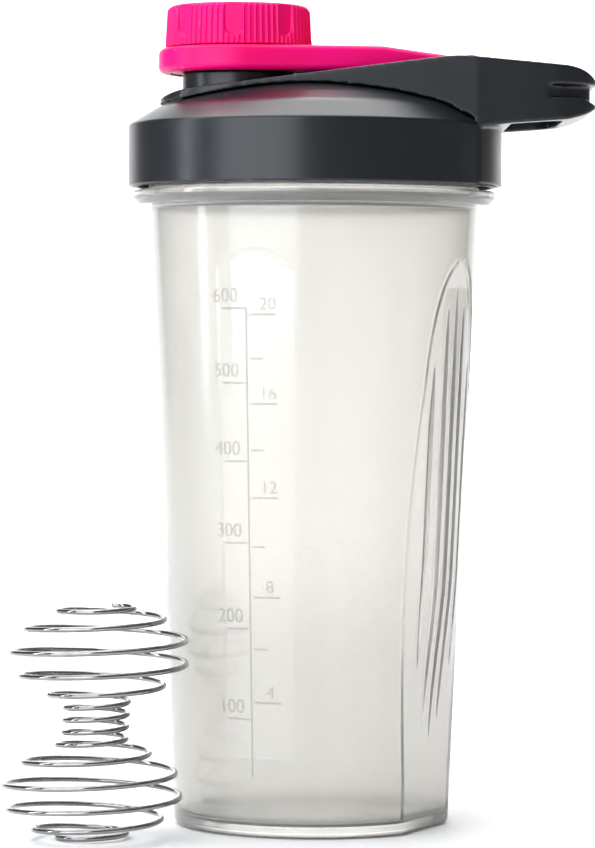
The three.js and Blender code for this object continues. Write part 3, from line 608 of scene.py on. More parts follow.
def grip_recess(z, angle):
    """How far the grip panels sink the wall, and how deep their borders and grooves are carved."""
    climb = np.clip(z, 0, GRIP_TOP) / GRIP_TOP
    half_angle = grip_half_angle(climb)
    flat = wall_radius(z) * (1 - np.cos(np.radians(half_angle)))
    depth = flat + (np.minimum(flat, GRIP_DEPTH) - flat) * smoothstep(climb, 0.1, 0.47)
    recess, carved = np.zeros_like(z), np.zeros_like(z)
    for azimuth in GRIP_AZIMUTHS:
        away = away_from(angle, azimuth)
        inside = depth * (1 - (away / half_angle) ** 2)
        recess = np.maximum(recess, np.where(z < GRIP_TOP, inside, 0))
        across = np.radians(away) * wall_radius(z)
        edge = np.abs(across) - np.radians(half_angle) * wall_radius(z)
        border = BORDER_DEPTH * np.exp(-((edge / BORDER_WIDTH) ** 2)) * smoothstep(climb, 0.02, 0.12)
        carved = np.maximum(carved, np.where(z < GRIP_TOP, border, 0))
        for middle, low, high in GROOVES:
            along = np.clip((z - low) / (high - low), 0, 1)
            half_width = GROOVE_HALF_WIDTH * np.power(4 * along * (1 - along), 0.55) + 1e-6
            shape = 1 - np.clip(np.abs(across - middle) / half_width, 0, 1) ** 2
            fade = np.minimum(1, 6 * along * (1 - along))
            carved = np.maximum(carved, GROOVE_DEPTH * fade * shape)
    return recess, carved


STRIP_AZIMUTH = -90 - 21.5
STRIP_HALF_ANGLE = 14.5
STRIP_TOP = 153.5
STRIP_BOTTOM = 21
STRIP_ARCH = 5
STRIP_SINK = 0.14


def clear_strip(z, angle):
    """One on the smooth measuring strip, nothing off it."""
    away = away_from(angle, STRIP_AZIMUTH)
    top = STRIP_TOP - STRIP_ARCH * (away / STRIP_HALF_ANGLE) ** 2
    sides = 1 - smoothstep(np.abs(away), STRIP_HALF_ANGLE - 0.5, STRIP_HALF_ANGLE + 0.1)
    ends = (1 - smoothstep(z, top - 0.6, top)) * smoothstep(z, STRIP_BOTTOM, STRIP_BOTTOM + 0.6)
    return sides * ends


def polished(z, angle):
    """One where the wall is polished: the strip, the grip panels, the stop collar and the neck."""
    shine = np.maximum(clear_strip(z, angle), smoothstep(z, COLLAR_BOTTOM - 0.4, COLLAR_BOTTOM + 0.4))
    half_angle = grip_half_angle(np.clip(z, 0, GRIP_TOP) / GRIP_TOP)
    for azimuth in GRIP_AZIMUTHS:
        beyond = np.abs(away_from(angle, azimuth)) - half_angle
        panel = (1 - smoothstep(beyond, -0.6, 0.2)) * (1 - smoothstep(z, GRIP_TOP - 0.8, GRIP_TOP))
        shine = np.maximum(shine, panel)
    return shine


def cup_shape(radius, z, angle):
    """Sinks the grip panels into both faces of the wall and carves the outer one."""
    wall = wall_radius(z)
    side = (radius > BASE_RADIUS / 2) & (z < GRIP_TOP + 3)
    outer = side & (radius > wall - CUP_WALL / 2) & (z > HEEL_RADIUS)
    recess, carved = grip_recess(z, angle)
    sunk = np.where(side, recess, 0) + np.where(outer, carved + STRIP_SINK * clear_strip(z, angle), 0)
    return radius - sunk, z


FINE_HALF_ANGLE = 29.5
FINE_STEP = 0.36
WIDE_STEP = 1.5


def cup_angles():
    """Angles about the cup: close together on the grip panels, wider elsewhere."""
    angles = list(np.arange(-180, 180, WIDE_STEP))
    for azimuth in GRIP_AZIMUTHS:
        angles = [a for a in angles if abs(away_from(math.radians(a), azimuth)) > FINE_HALF_ANGLE]
        angles += [azimuth + a for a in np.arange(-FINE_HALF_ANGLE, FINE_HALF_ANGLE + 0.1, FINE_STEP)]
    for edge in (-STRIP_HALF_ANGLE, STRIP_HALF_ANGLE):
        angles += [STRIP_AZIMUTH + edge + a for a in (-0.6, -0.2, 0.2)]
    wrapped = sorted(set(round((a + 180) % 360 - 180, 3) for a in angles))
    return np.radians(wrapped)


FOOT_RISE = 0.6        # the middle of the base stands this far off the table
FOOT_INNER = 6         # the foot it stands on ends this far in from the base's edge
FOOT_OUTER = 5.2
NECK_LIP = 0.6
COLLAR_UNDERCUT = 1.9
COLLAR_LEDGE = 0.5
COLLAR_BELLY = 2.3


def cup(finish):
    outside = rounded([
        (0, FOOT_RISE, 0), (BASE_RADIUS - FOOT_INNER, FOOT_RISE, 0.5), (BASE_RADIUS - FOOT_OUTER, 0, 0.3),
        (wall_radius(0), 0, HEEL_RADIUS), (wall_radius(COLLAR_BOTTOM), COLLAR_BOTTOM, 1.0),
        (COLLAR_RADIUS - COLLAR_UNDERCUT, COLLAR_BOTTOM + COLLAR_LEDGE, 0.9),
        (COLLAR_RADIUS, COLLAR_BOTTOM + COLLAR_BELLY, 1.4),
        (COLLAR_RADIUS, COLLAR_TOP, 0.8), (NECK_RADIUS, COLLAR_TOP, 0.6),
        (NECK_RADIUS, CUP_HEIGHT, NECK_LIP), (NECK_BORE, CUP_HEIGHT, NECK_LIP),
        (NECK_BORE, COLLAR_TOP, 3), (wall_radius(COLLAR_BOTTOM) - CUP_WALL, COLLAR_BOTTOM, 3),
        (wall_radius(CUP_FLOOR) - CUP_WALL, CUP_FLOOR, HEEL_RADIUS), (0, CUP_FLOOR, 0),
    ])
    rim = max(i for i, place in enumerate(outside) if place[1] > CUP_HEIGHT - 1e-6)
    outline = refined(outside[: rim + 1], 0.7) + refined(outside[rim:], 1.6)[1:]
    wall = turned(outline, cup_angles(), cup_shape)
    bottom = SKIRT_BOTTOM + LID_THREAD_Z + LID_THREAD["lead"] / 4
    ridges = thread(NECK_RADIUS, LID_THREAD_HEIGHT, bottom, LID_THREAD)
    mesh = mesh_of("cup_wall", wall, ridges)
    shine = mesh.attributes.new("polished", "FLOAT", "POINT")
    place = np.array([v.co for v in mesh.vertices]) / MM
    angle = np.arctan2(place[:, 1], place[:, 0])
    outer = np.hypot(place[:, 0], place[:, 1]) > wall_radius(place[:, 2]) - CUP_WALL / 2
    shine.data.foreach_set("value", polished(place[:, 2], angle) * outer)
    show("cup_wall", mesh, finish, "cup", "cup_plastic", "cup")


MARK_HEIGHT = 0.05
MARK_BURIED = 0.05
MARK_LINE = 0.5
MARK_BEVEL = 0.12
RULE_AZIMUTH = -90 - 24.3
MARK_OFFSET = 3        # fitted: the marks stand higher than the cup's volume puts them
OUNCE = 29.574         # millilitres
MILLILITRE_TICK = (-7.2, -0.6)    # millimetres across, from the rule
OUNCE_TICK = (1.0, 8.2)
SHORT_OUNCE_TICK = (1.0, 4.4)


def mark_height(millilitres):
    """Height on the cup of a volume, from its tapered inside."""
    start = wall_radius(CUP_FLOOR) - CUP_WALL
    cube = start**3 + 3 * SIDE_SLOPE * millilitres * 1000 / math.pi
    return CUP_FLOOR + MARK_OFFSET + (cube ** (1 / 3) - start) / SIDE_SLOPE


def on_wall(flat, azimuth, height):
    """Wraps flat points (across, up, out) in millimetres onto the cup's outer wall."""
    flat = np.array(flat, float)
    z = height + flat[:, 1]
    radius = wall_radius(z) - STRIP_SINK
    angle = math.radians(azimuth) + flat[:, 0] / radius
    radius = radius + flat[:, 2]
    return np.stack([radius * np.cos(angle), radius * np.sin(angle), z], axis=-1)


def drawn_in(places, amount):
    """Places along a line, with the first and the last drawn in."""
    return [places[0] + amount, *places[1:-1], places[-1] - amount]


def raised_bar(azimuth, low, high, start, end):
    """A raised line on the wall, between two heights and two places across."""
    steps = max(2, math.ceil(abs(end - start)))
    lines = max(2, math.ceil((high - low) / 4))
    across, up = np.linspace(start, end, steps + 1), np.linspace(low, high, lines + 1)
    flat = []
    for height, drawn in ((-MARK_BURIED, 0.0), (MARK_HEIGHT, MARK_BEVEL)):
        for v in drawn_in(up, drawn):
            flat += [(u, v, height) for u in drawn_in(across, drawn)]
    grid = np.arange(len(flat)).reshape(2, lines + 1, steps + 1)
    faces = []
    buried, raised = grid
    for level, order in ((buried, -1), (raised, 1)):
        for i in range(lines):
            for k in range(steps):
                face = (level[i, k], level[i, k + 1], level[i + 1, k + 1], level[i + 1, k])
                faces.append(tuple(int(c) for c in face[::order]))
    ring = [(0, k) for k in range(steps + 1)]
    ring += [(i, steps) for i in range(1, lines + 1)]
    ring += [(lines, k) for k in range(steps - 1, -1, -1)]
    ring += [(i, 0) for i in range(lines - 1, 0, -1)]
    for here, there in zip(ring, ring[1:] + ring[:1]):
        face = (buried[here], buried[there], raised[there], raised[here])
        faces.append(tuple(int(c) for c in face))
    return on_wall(flat, azimuth, 0), faces


def numeral(text, azimuth, height, size, align):
    """Raised generic numerals wrapped onto the wall."""
    curve = bpy.data.curves.new("numeral", "FONT")
    curve.body = text
    curve.size = size
    curve.align_x = align
    curve.extrude = (MARK_HEIGHT + MARK_BURIED) / 2
    holder = add_object("numeral", curve)
    mesh = bpy.data.meshes.new_from_object(holder)
    flat = [(v.co.x, v.co.y, v.co.z + (MARK_HEIGHT - MARK_BURIED) / 2) for v in mesh.vertices]
    faces = [tuple(p.vertices) for p in mesh.polygons]
    bpy.data.objects.remove(holder)
    return on_wall(flat, azimuth, height), faces


def tick(height, across):
    """A raised line beside the rule, at a height, between two places across."""
    return raised_bar(RULE_AZIMUTH, height - MARK_LINE / 2, height + MARK_LINE / 2, *across)


def graduations(finish):
    """The moulded measuring scale: millilitres left of the rule and ounces right of it."""
    half = MARK_LINE / 2
    shells = [raised_bar(RULE_AZIMUTH, mark_height(40), mark_height(600) + half, -half, half)]
    for volume in range(100, 601, 100):
        height = mark_height(volume)
        shells.append(tick(height, MILLILITRE_TICK))
        shells.append(numeral(str(volume), RULE_AZIMUTH - 3, height + 1.6, 5.2, "RIGHT"))
    for ounces in range(4, 21, 2):
        height = mark_height(ounces * OUNCE)
        long_mark = ounces % 4 == 0
        shells.append(tick(height, OUNCE_TICK if long_mark else SHORT_OUNCE_TICK))
        if long_mark:
            shells.append(numeral(str(ounces), RULE_AZIMUTH + 8, height + 1.2, 4.6, "CENTER"))
    mesh = mesh_of("graduation_marks", *shells)
    for face in mesh.polygons:
        face.use_smooth = False
    show("graduation_marks", mesh, finish, "cup", "cup_plastic")


# ---- lid


EDGE_IN = 0.8          # where the lid's slope starts, in from the skirt and above the shoulder
EDGE_RISE = 0.5
BREAK_IN = 8.3         # and where it turns flatter
BREAK_RISE = 4.9


def dome_outline(outer_radius, grow):
    """The lid's sloping top from its shoulder to the axis; grow lifts it for what sits on it."""
    slope = (BREAK_RISE - EDGE_RISE) / (BREAK_IN - EDGE_IN)
    outer_z = SHOULDER_Z + EDGE_RISE + slope * (SKIRT_RADIUS - outer_radius - EDGE_IN)
    return [
        (outer_radius, outer_z + grow, 0),
        (SKIRT_RADIUS - BREAK_IN, SHOULDER_Z + BREAK_RISE + grow, 14),
        (32, SHOULDER_Z + 7.75 + grow, 30), (20, CROWN_Z + grow, 14), (0, CROWN_Z + grow, 0),
    ]


def lid_shape(radius, z, angle):
    """Sinks the recess that takes the handle frame's rear panel."""
    half = math.asin((FRAME_HALF_WIDTH + FIT) / SKIRT_RADIUS)
    panel = (np.abs(angle) < half) & (z > SKIRT_BOTTOM - 1)
    outer = radius > RECESS_RADIUS
    return np.where(panel & outer, RECESS_RADIUS, radius), z


def lid(finish):
    seat = CUP_HEIGHT + 2.6
    lip = 41.4
    outline = rounded([
        (SKIRT_BORE, SKIRT_BOTTOM, 0.4), (SKIRT_RADIUS, SKIRT_BOTTOM, 0.6),
        (SKIRT_RADIUS, SHOULDER_Z - 0.1, 1.1), *dome_outline(SKIRT_RADIUS - EDGE_IN, 0)[1:],
    ], steps=8)
    inside = rounded([
        (0, CROWN_Z - ROOF_WALL, 0), (20, CROWN_Z - ROOF_WALL, 6),
        (lip - 1.5, SHOULDER_Z + BREAK_RISE - ROOF_WALL, 3),
        (lip - 1.5, seat - 4, 0.4), (lip, seat - 4, 0.4),
        (lip, seat, 0.4), (SKIRT_BORE, seat, 0.8), (SKIRT_BORE, SKIRT_BOTTOM, 0),
    ])
    half = math.asin((FRAME_HALF_WIDTH + FIT) / SKIRT_RADIUS)
    edges = [side * (half + shift) for side in (-1, 1) for shift in (-0.0005, 0.0005)]
    angles = np.array(sorted([*even_angles(360), *edges]))
    shell = add_object("lid_solid", mesh_of("lid_solid", turned(outline + inside, angles, lid_shape)))
    centre = (SPOUT_X, 0)
    shell = combine(shell, post(SPOUT_BORE, CROWN_Z - 12, CROWN_Z + 6, centre=centre), "DIFFERENCE")
    mesh = shell.data
    bpy.data.objects.remove(shell)
    mesh.name = "lid_shell_body"
    mesh.shade_smooth()
    mesh.set_sharp_from_angle(angle=math.radians(40))
    show("lid_shell_body", mesh, finish, "lid", "dark_plastic", "lid_shell")
    height = SKIRT_BORE - NECK_RADIUS - 0.6
    ridges = thread(SKIRT_BORE, -height, SKIRT_BOTTOM + LID_THREAD_Z, LID_THREAD)
    show("lid_thread", mesh_of("lid_thread", ridges), finish, "lid", "dark_plastic")
    tube = turned(rounded([
        (SPOUT_BORE, CROWN_Z - 4, 0.3), (SPOUT_RADIUS, CROWN_Z - 4, 0.3), (SPOUT_RADIUS, ARM_BOTTOM, 0.4),
        (SPOUT_ROOT, ARM_BOTTOM, 0.3), (SPOUT_ROOT, SPOUT_TOP, 0.7), (SPOUT_BORE, SPOUT_TOP, 0.7),
    ], closed=True), even_angles(180), closed=True, centre=centre)
    bottom = ARM_BOTTOM + CAP_THREAD_Z + CAP_THREAD["lead"] / 4
    ridges = thread(SPOUT_ROOT, CAP_THREAD_HEIGHT, bottom, CAP_THREAD, centre)
    show("lid_spout", mesh_of("lid_spout", tube, ridges), finish, "lid", "dark_plastic")


def gasket(finish):
    inner, outer = GASKET_HIGH.x - GASKET_WIDTH, GASKET_HIGH.x
    ring = turned(rounded([
        (inner, GASKET_LOW.z, 0.5), (outer, GASKET_LOW.z, 0.5),
        (outer, GASKET_HIGH.z, 0.5), (inner, GASKET_HIGH.z, 0.5),
    ], closed=True), even_angles(200), closed=True)
    show("gasket_ring", mesh_of("gasket_ring", ring), finish, "gasket", "silicone", "lid_gasket")


# ---- handle frame


def frame_half_width(x):
    along = min(1.0, (x - SPOUT_X) / (FRAME_REAR_X - SPOUT_X))
    return FRAME_NOSE_RADIUS + (FRAME_HALF_WIDTH - FRAME_NOSE_RADIUS) * along


def frame_plan(inset, rear_x, corner):
    """Plan outline of the frame, drawn in by inset all round and cut off at rear_x."""
    rear = FRAME_HALF_WIDTH - inset
    nose = FRAME_NOSE_RADIUS - inset
    plan = [(FRAME_REAR_X, -rear)]
    plan += arc((rear_x - corner, corner - rear), corner, -90, 0, 24)
    plan += arc((rear_x - corner, rear - corner), corner, 0, 90, 24)
    plan += [(FRAME_REAR_X, rear)]
    plan += arc((SPOUT_X, 0), nose, 90, 270, 90)
    return plan


def frame_side():
    """Side outline of the frame in X and Z, without the groove round the end of the loop."""
    climb_x, climb_z = HINGE_X - 8, RAIL_TOP - 0.25
    nose_x, round_x = SPOUT_X - FRAME_NOSE_RADIUS, SPOUT_X - 14
    nose_z, round_z = (climb_z - RAIL_SLOPE * (climb_x - x) for x in (nose_x, round_x))
    side = [(nose_x - 3, SHOULDER_Z), (nose_x - 3, nose_z - 1.1), (nose_x, nose_z - 1.1)]
    side += bend(side[-1], (round_x - 3, round_z - 3 * RAIL_SLOPE), (round_x, round_z))
    side += [(climb_x, climb_z)]
    side += bend((climb_x, climb_z), (HINGE_X - 4, RAIL_TOP + 0.25), (HINGE_X, RAIL_TOP))
    side += [(LOOP_BAR_X - 2, RAIL_TOP - 2.1)]
    side += bend(side[-1], (LOOP_END_X - 2.5, RAIL_TOP - 2.5), (LOOP_END_X, RAIL_TOP - 7))
    side += [(LOOP_END_X, RAIL_TOP - 12.8)]
    side += bend(side[-1], (LOOP_END_X - 2, RAIL_TOP - 15.2), (LOOP_BAR_X, RAIL_TOP - 16.6))
    side += [(LOOP_HOLE_X, RAIL_TOP - 17.6), (FRAME_REAR_X, RAIL_TOP - 18.7),
             (0, RAIL_TOP - 23), (SPOUT_X, RAIL_TOP - 23)]
    return side


GROOVE_IN = 4.2        # depth of the groove round the end of the loop
GROOVE_LEAD = 2.5      # it starts this far before the loop's round corner
GROOVE_FADE = 6.0      # and reaches its depth over this length
GROOVE_EASE = 2.3      # it is this much shallower across the very end


def loop_groove():
    """What is cut away round the end of the loop: a groove that fades in along both sides."""
    centre_x, centre_y = LOOP_END_X - LOOP_CORNER, LOOP_CORNER - FRAME_HALF_WIDTH
    inner = []
    for along in np.linspace(0, GROOVE_LEAD, 6)[:-1]:
        depth = GROOVE_IN * smoothstep(along, 0, GROOVE_FADE) - 0.1
        inner.append((centre_x - GROOVE_LEAD + along, -FRAME_HALF_WIDTH + depth))
    for angle in np.radians(np.linspace(-90, 0, 25)):
        along = GROOVE_LEAD + LOOP_CORNER * (angle + math.pi / 2)
        shallower = GROOVE_EASE * smoothstep(angle, -0.9, 0)
        radius = LOOP_CORNER - GROOVE_IN * smoothstep(along, 0, GROOVE_FADE) + shallower
        inner.append((centre_x + radius * math.cos(angle), centre_y + radius * math.sin(angle)))
    inner += [(x, -y) for x, y in reversed(inner)]
    start_x, wide = centre_x - GROOVE_LEAD, FRAME_HALF_WIDTH + 4
    outer = [(start_x, -wide), (LOOP_END_X + 4, -wide), (LOOP_END_X + 4, wide), (start_x, wide)]
    low, high = RAIL_TOP - 18, RAIL_TOP - 5
    ring = combine(prism(outer, low, high), prism(inner, low - 1, high + 1), "DIFFERENCE")
    top, bottom, lip = RAIL_TOP - 7.4, RAIL_TOP - 10.9, RAIL_TOP - 12.8
    fall = (bottom - lip) / GROOVE_IN
    profile = [(start_x - 1, top), (LOOP_END_X + 5, top), (LOOP_END_X + 5, lip - 5 * fall),
               (LOOP_END_X - GROOVE_IN, bottom), (start_x - 1, bottom)]
    return combine(ring, across_y(profile, -wide - 1, wide + 1), "INTERSECT")


FRAME_VOXEL = 0.32
FRAME_SMOOTHING = 11


def handle_frame(finish):
    top = CROWN_Z + 12
    wide = FRAME_HALF_WIDTH + 5
    bulk = combine(prism(frame_plan(0, LOOP_END_X, LOOP_CORNER), SHOULDER_Z - 6, top),
                   across_y(frame_side(), -wide, wide), "INTERSECT")
    bulk = combine(bulk, loop_groove(), "DIFFERENCE")
    wrap = combine(post(SKIRT_RADIUS + 0.6, SKIRT_BOTTOM - 1, SHOULDER_Z + 2, 360),
                   block((0, -FRAME_HALF_WIDTH, SKIRT_BOTTOM + 0.4),
                         (LOOP_END_X, FRAME_HALF_WIDTH, SHOULDER_Z + 0.5)), "INTERSECT")
    solid = combine(bulk, wrap, "UNION")
    under = [(0, SKIRT_BOTTOM - 2), (RECESS_RADIUS + FIT, SKIRT_BOTTOM - 2)]
    under += rounded(dome_outline(RECESS_RADIUS + FIT, FIT + 0.1))
    solid = combine(solid, turned_solid(under, 360), "DIFFERENCE")
    channel = combine(prism(frame_plan(RAIL_WALL, LOOP_HOLE_X, 1), DECK_Z, top),
                      block((-2, -wide, DECK_Z - 1), (LOOP_END_X, wide, top + 1)), "INTERSECT")
    solid = combine(solid, channel, "DIFFERENCE")
    opening = frame_plan(LOOP_WALL, LOOP_BAR_X, LOOP_CORNER - LOOP_WALL)
    behind = block((LOOP_HOLE_X, -wide, SKIRT_BOTTOM - 1), (LOOP_END_X, wide, top + 1))
    hole = combine(prism(opening, SKIRT_BOTTOM, top), behind, "INTERSECT")
    solid = combine(solid, hole, "DIFFERENCE")
    solid = combine(solid, post(SPOUT_RADIUS + FIT, SHOULDER_Z, top, centre=(SPOUT_X, 0)), "DIFFERENCE")
    inner, outer = KNUCKLE_HALF_LENGTH + FIT, frame_half_width(HINGE_X) - RAIL_WALL / 2
    lug = [(HINGE_X - LUG_RADIUS, DECK_Z - 1), (HINGE_X + LUG_RADIUS, DECK_Z - 1)]
    lug += arc((HINGE_X, HINGE_Z - LUG_DROP), LUG_RADIUS, 0, 180, 24)
    for low, high in ((inner, outer), (-outer, -inner)):
        solid = combine(solid, across_y(lug, low, high), "UNION")
    half_length = frame_half_width(HINGE_X) - RAIL_WALL / 2 + FIT
    solid = combine(solid, bar_y(PIN_RADIUS + FIT, half_length), "DIFFERENCE")
    mesh = softened(solid, FRAME_VOXEL, FRAME_SMOOTHING)
    mesh.name = "handle_moulding"
    show("handle_moulding", mesh, finish, "lid", "dark_plastic", "handle_frame")


def hinge_pin(finish):
    half = PIN_HIGH.y
    points, faces = turned(rounded([
        (0, -half, 0), (PIN_RADIUS, -half, 0.4), (PIN_RADIUS, half, 0.4), (0, half, 0),
    ]), even_angles(48))
    points = np.stack([HINGE_X + points[:, 0], points[:, 2], HINGE_Z + points[:, 1]], axis=-1)
    show("pin_bar", mesh_of("pin_bar", (points, faces)), finish, "lid", "pin_steel", "hinge_pin")


# ---- cap arm

ARM_ROUNDING = 1.7
ARM_VOXEL = 0.3
ARM_SMOOTHING = 2
CAP_LIP = 1.2          # thickness of the lip that holds the cap in its collar
CAP_TRAVEL = 3
STEP_GAP = 0.4


def arm_reach(angle, inset):
    """Distance from the spout's middle to the arm's outline, drawn in by inset, at an angle."""
    reach = HINGE_X - 3 - SPOUT_X
    slant = math.hypot(reach, ARM_END_HALF_WIDTH)
    tangent = math.acos(ARM_RADIUS / slant) + math.atan2(ARM_END_HALF_WIDTH, reach)
    turn = abs(angle)
    radius = ARM_RADIUS - inset
    if turn >= tangent:
        return radius
    return min(radius / math.cos(tangent - turn), (HINGE_X - SPOUT_X) / math.cos(turn))


def arm_top(x):
    """Height of the arm's top, which slopes down behind the collar."""
    along = np.clip((x - ARM_SLOPE_X) / (HINGE_X - 5 - ARM_SLOPE_X), 0, 1)
    return ARM_TOP + (ARM_END_TOP - ARM_TOP) * along


def cap_arm(finish):
    bore, counterbore = SLEEVE_RADIUS + 0.4, SLEEVE_RADIUS + 1.5
    angles = even_angles(720)
    count = len(angles)
    turns = [math.radians(a) for a in np.linspace(90, 0, 9)]
    rows = []

    def ring(distance, height):
        x = SPOUT_X + distance * np.cos(angles)
        y = distance * np.sin(angles)
        z = height(x) if callable(height) else np.full(count, height)
        rows.append(np.stack([x, y, z], axis=-1))

    def reach_all_round(inset):
        return np.array([arm_reach(a, inset) for a in angles])

    def short_of(share):
        return ARM_ROUNDING * (1 - share)

    full = reach_all_round(ARM_ROUNDING)
    for share in np.linspace(0, 1, 14)[1:]:
        ring(counterbore + (full - counterbore) * share, ARM_BOTTOM)
    for turn in turns[1:]:
        ring(reach_all_round(short_of(math.cos(turn))), ARM_BOTTOM + short_of(math.sin(turn)))
    for turn in reversed(turns[:-1]):
        drop = short_of(math.sin(turn))
        ring(reach_all_round(short_of(math.cos(turn))), lambda x, drop=drop: arm_top(x) - drop)
    for share in np.linspace(1, 0, 14)[1:]:
        ring(bore + (full - bore) * share, arm_top)
    step_z = SLEEVE_BOTTOM + CAP_LIP + CAP_TRAVEL + STEP_GAP
    for radius, height in ((bore, step_z + 0.05), (bore, step_z), (counterbore, step_z),
                           (counterbore, step_z - 0.05), (counterbore, ARM_BOTTOM + 0.3)):
        ring(np.full(count, radius), height)
    points = np.concatenate(rows)
    grid = np.arange(len(points)).reshape(len(rows), count)
    faces = bands(np.vstack([grid, grid[:1]]))
    strap = add_object("strap", mesh_of("strap", (points, faces)))
    knuckle = bar_y(KNUCKLE_RADIUS, KNUCKLE_HALF_LENGTH, 72)
    strap = combine(strap, knuckle, "UNION")
    strap = combine(strap, bar_y(PIN_RADIUS + FIT, KNUCKLE_HALF_LENGTH + 1), "DIFFERENCE")
    mesh = softened(strap, ARM_VOXEL, ARM_SMOOTHING)
    mesh.name = "arm_moulding"
    show("arm_moulding", mesh, finish, "arm", "pink_plastic", "cap_arm")


# ---- screw cap

RIB_HEIGHT = 0.45
RIB_WIDTH = 0.24
RIBS_BETWEEN = 7
FLUTE_BOTTOM = KNOB_BOTTOM + 2.2 + FLUTE_WIDTH / 2


def knob_shape(radius, z, angle):
    """Cuts the flutes into the knob and raises the ribs between and below them."""
    pitch = 2 * math.pi / FLUTE_COUNT
    local = (angle - FLUTE_AZIMUTH + pitch / 2) % pitch - pitch / 2
    outer = (radius > KNOB_TOP_RADIUS - 2.2) & (z > KNOB_BOTTOM - 0.01)
    across = radius * np.sin(local)
    below = np.minimum(z - FLUTE_BOTTOM, 0)
    edge = np.hypot(across, below) - FLUTE_WIDTH / 2
    flute = 1 - smoothstep(edge, -0.35, 0.15)
    floor = (KNOB_RADIUS - FLUTE_DEPTH) / np.cos(local)
    rib_edge = math.asin((FLUTE_WIDTH / 2 + 0.35) / KNOB_RADIUS)
    spacing = (pitch - 2 * rib_edge) / (RIBS_BETWEEN - 1)
    past = np.abs(local) - rib_edge
    nearest = np.abs(past - np.round(past / spacing) * spacing)
    ribs = np.where(past > -spacing / 2, np.exp(-((nearest * radius / RIB_WIDTH) ** 2)), 0)
    short_spacing = 2 * rib_edge / 4
    short_nearest = np.abs(local - np.round(local / short_spacing) * short_spacing)
    short = np.where(np.abs(local) < rib_edge - short_spacing / 2,
                     np.exp(-((short_nearest * radius / RIB_WIDTH) ** 2)), 0)
    short = short * smoothstep(edge, 0.15, 0.5)
    lift = RIB_HEIGHT * np.maximum(ribs, short)
    lift = lift * (1 - smoothstep(z, KNOB_TOP - 1.3, KNOB_TOP - 0.3))
    lift = lift * smoothstep(z, KNOB_BOTTOM, KNOB_BOTTOM + 0.3)
    standing = radius + np.where(outer & (radius > KNOB_TOP_RADIUS - 1.4), lift * (1 - flute), 0)
    sunk = np.minimum(standing, floor)
    return np.where(outer, standing + (sunk - standing) * flute, radius), z


def spout_cap(finish):
    lip = SLEEVE_RADIUS + 1.1
    base_radius = KNOB_RADIUS - RIB_HEIGHT
    crown_radius = KNOB_TOP_RADIUS - RIB_HEIGHT
    outline = rounded([
        (0, KNOB_TOP - KNOB_ROOF, 0), (CAP_BORE, KNOB_TOP - KNOB_ROOF, 0.6),
        (CAP_BORE, SLEEVE_BOTTOM, 0.3),
        (lip, SLEEVE_BOTTOM, 0.4), (lip, SLEEVE_BOTTOM + CAP_LIP, 0.2),
        (SLEEVE_RADIUS, SLEEVE_BOTTOM + CAP_LIP, 0.2),
        (SLEEVE_RADIUS, KNOB_BOTTOM, 0.2), (base_radius, KNOB_BOTTOM, 0.25),
        (crown_radius, KNOB_TOP, 1.3), (KNOB_TOP_RADIUS - 3.2, KNOB_TOP, 0.3),
        (KNOB_TOP_RADIUS - 3.8, KNOB_TOP - 0.35, 0.3), (0, KNOB_TOP - 0.2, 0),
    ])
    knob = next(i for i, (r, z) in enumerate(outline) if r > SLEEVE_RADIUS + 0.5 and z >= KNOB_BOTTOM)
    outline = outline[:knob] + refined(outline[knob:], 0.22)
    points, faces = turned(outline, even_angles(1440), knob_shape)
    points[:, 0] += SPOUT_X
    ridges = thread(CAP_BORE, -CAP_THREAD_HEIGHT, ARM_BOTTOM + CAP_THREAD_Z, CAP_THREAD, (SPOUT_X, 0))
    mesh = mesh_of("cap_knob", (points, faces), ridges)
    show("cap_knob", mesh, finish, "cap", "pink_plastic", "spout_cap")


def cap_seal(finish):
    radius = SEAL_HIGH.x - SPOUT_X
    disc = turned(rounded([
        (0, SEAL_LOW.z, 0), (radius, SEAL_LOW.z, 0.4), (radius, SEAL_HIGH.z, 0.4), (0, SEAL_HIGH.z, 0),
    ]), even_angles(128), centre=(SPOUT_X, 0))
    show("seal_disc", mesh_of("seal_disc", disc), finish, "seal", "silicone", "cap_seal")


# ---- whisk

WIRE_RADIUS = 0.7
WHISK_AZIMUTH = math.radians(-148.1)
WHISK_LOBE_RADIUS = 23.3
WHISK_NECK_RADIUS = 8.2
WHISK_GAP = 7.5        # between the cup's base and the whisk
WHISK_DISTANCE = BASE_RADIUS + WHISK_GAP + WHISK_LOBE_RADIUS + WIRE_RADIUS
WHISK_LEAN = 0.058     # sideways, for each millimetre up
WHISK_HALF_TURNS = 6.85
WHISK_END_TURNS = 6.1  # beyond this the wire winds flatter
WHISK_END_RISE = 1.3   # rises for each turn
WHISK_NECK_RISE = 3.2
WHISK_LOBE_RISE = 3.1  # added in the middle of a lobe
WHISK_STEPS = 1800
LOBE_MIDDLE = 4.1
LOBE_HALF_TURNS = 2.4


def lobe(turns):
    """One for the middle of a lobe, falling to nothing at its ends; turns run from the middle."""
    away = (abs(turns) - LOBE_MIDDLE) / LOBE_HALF_TURNS
    return math.cos(away * math.pi / 2) if abs(away) < 1 else 0


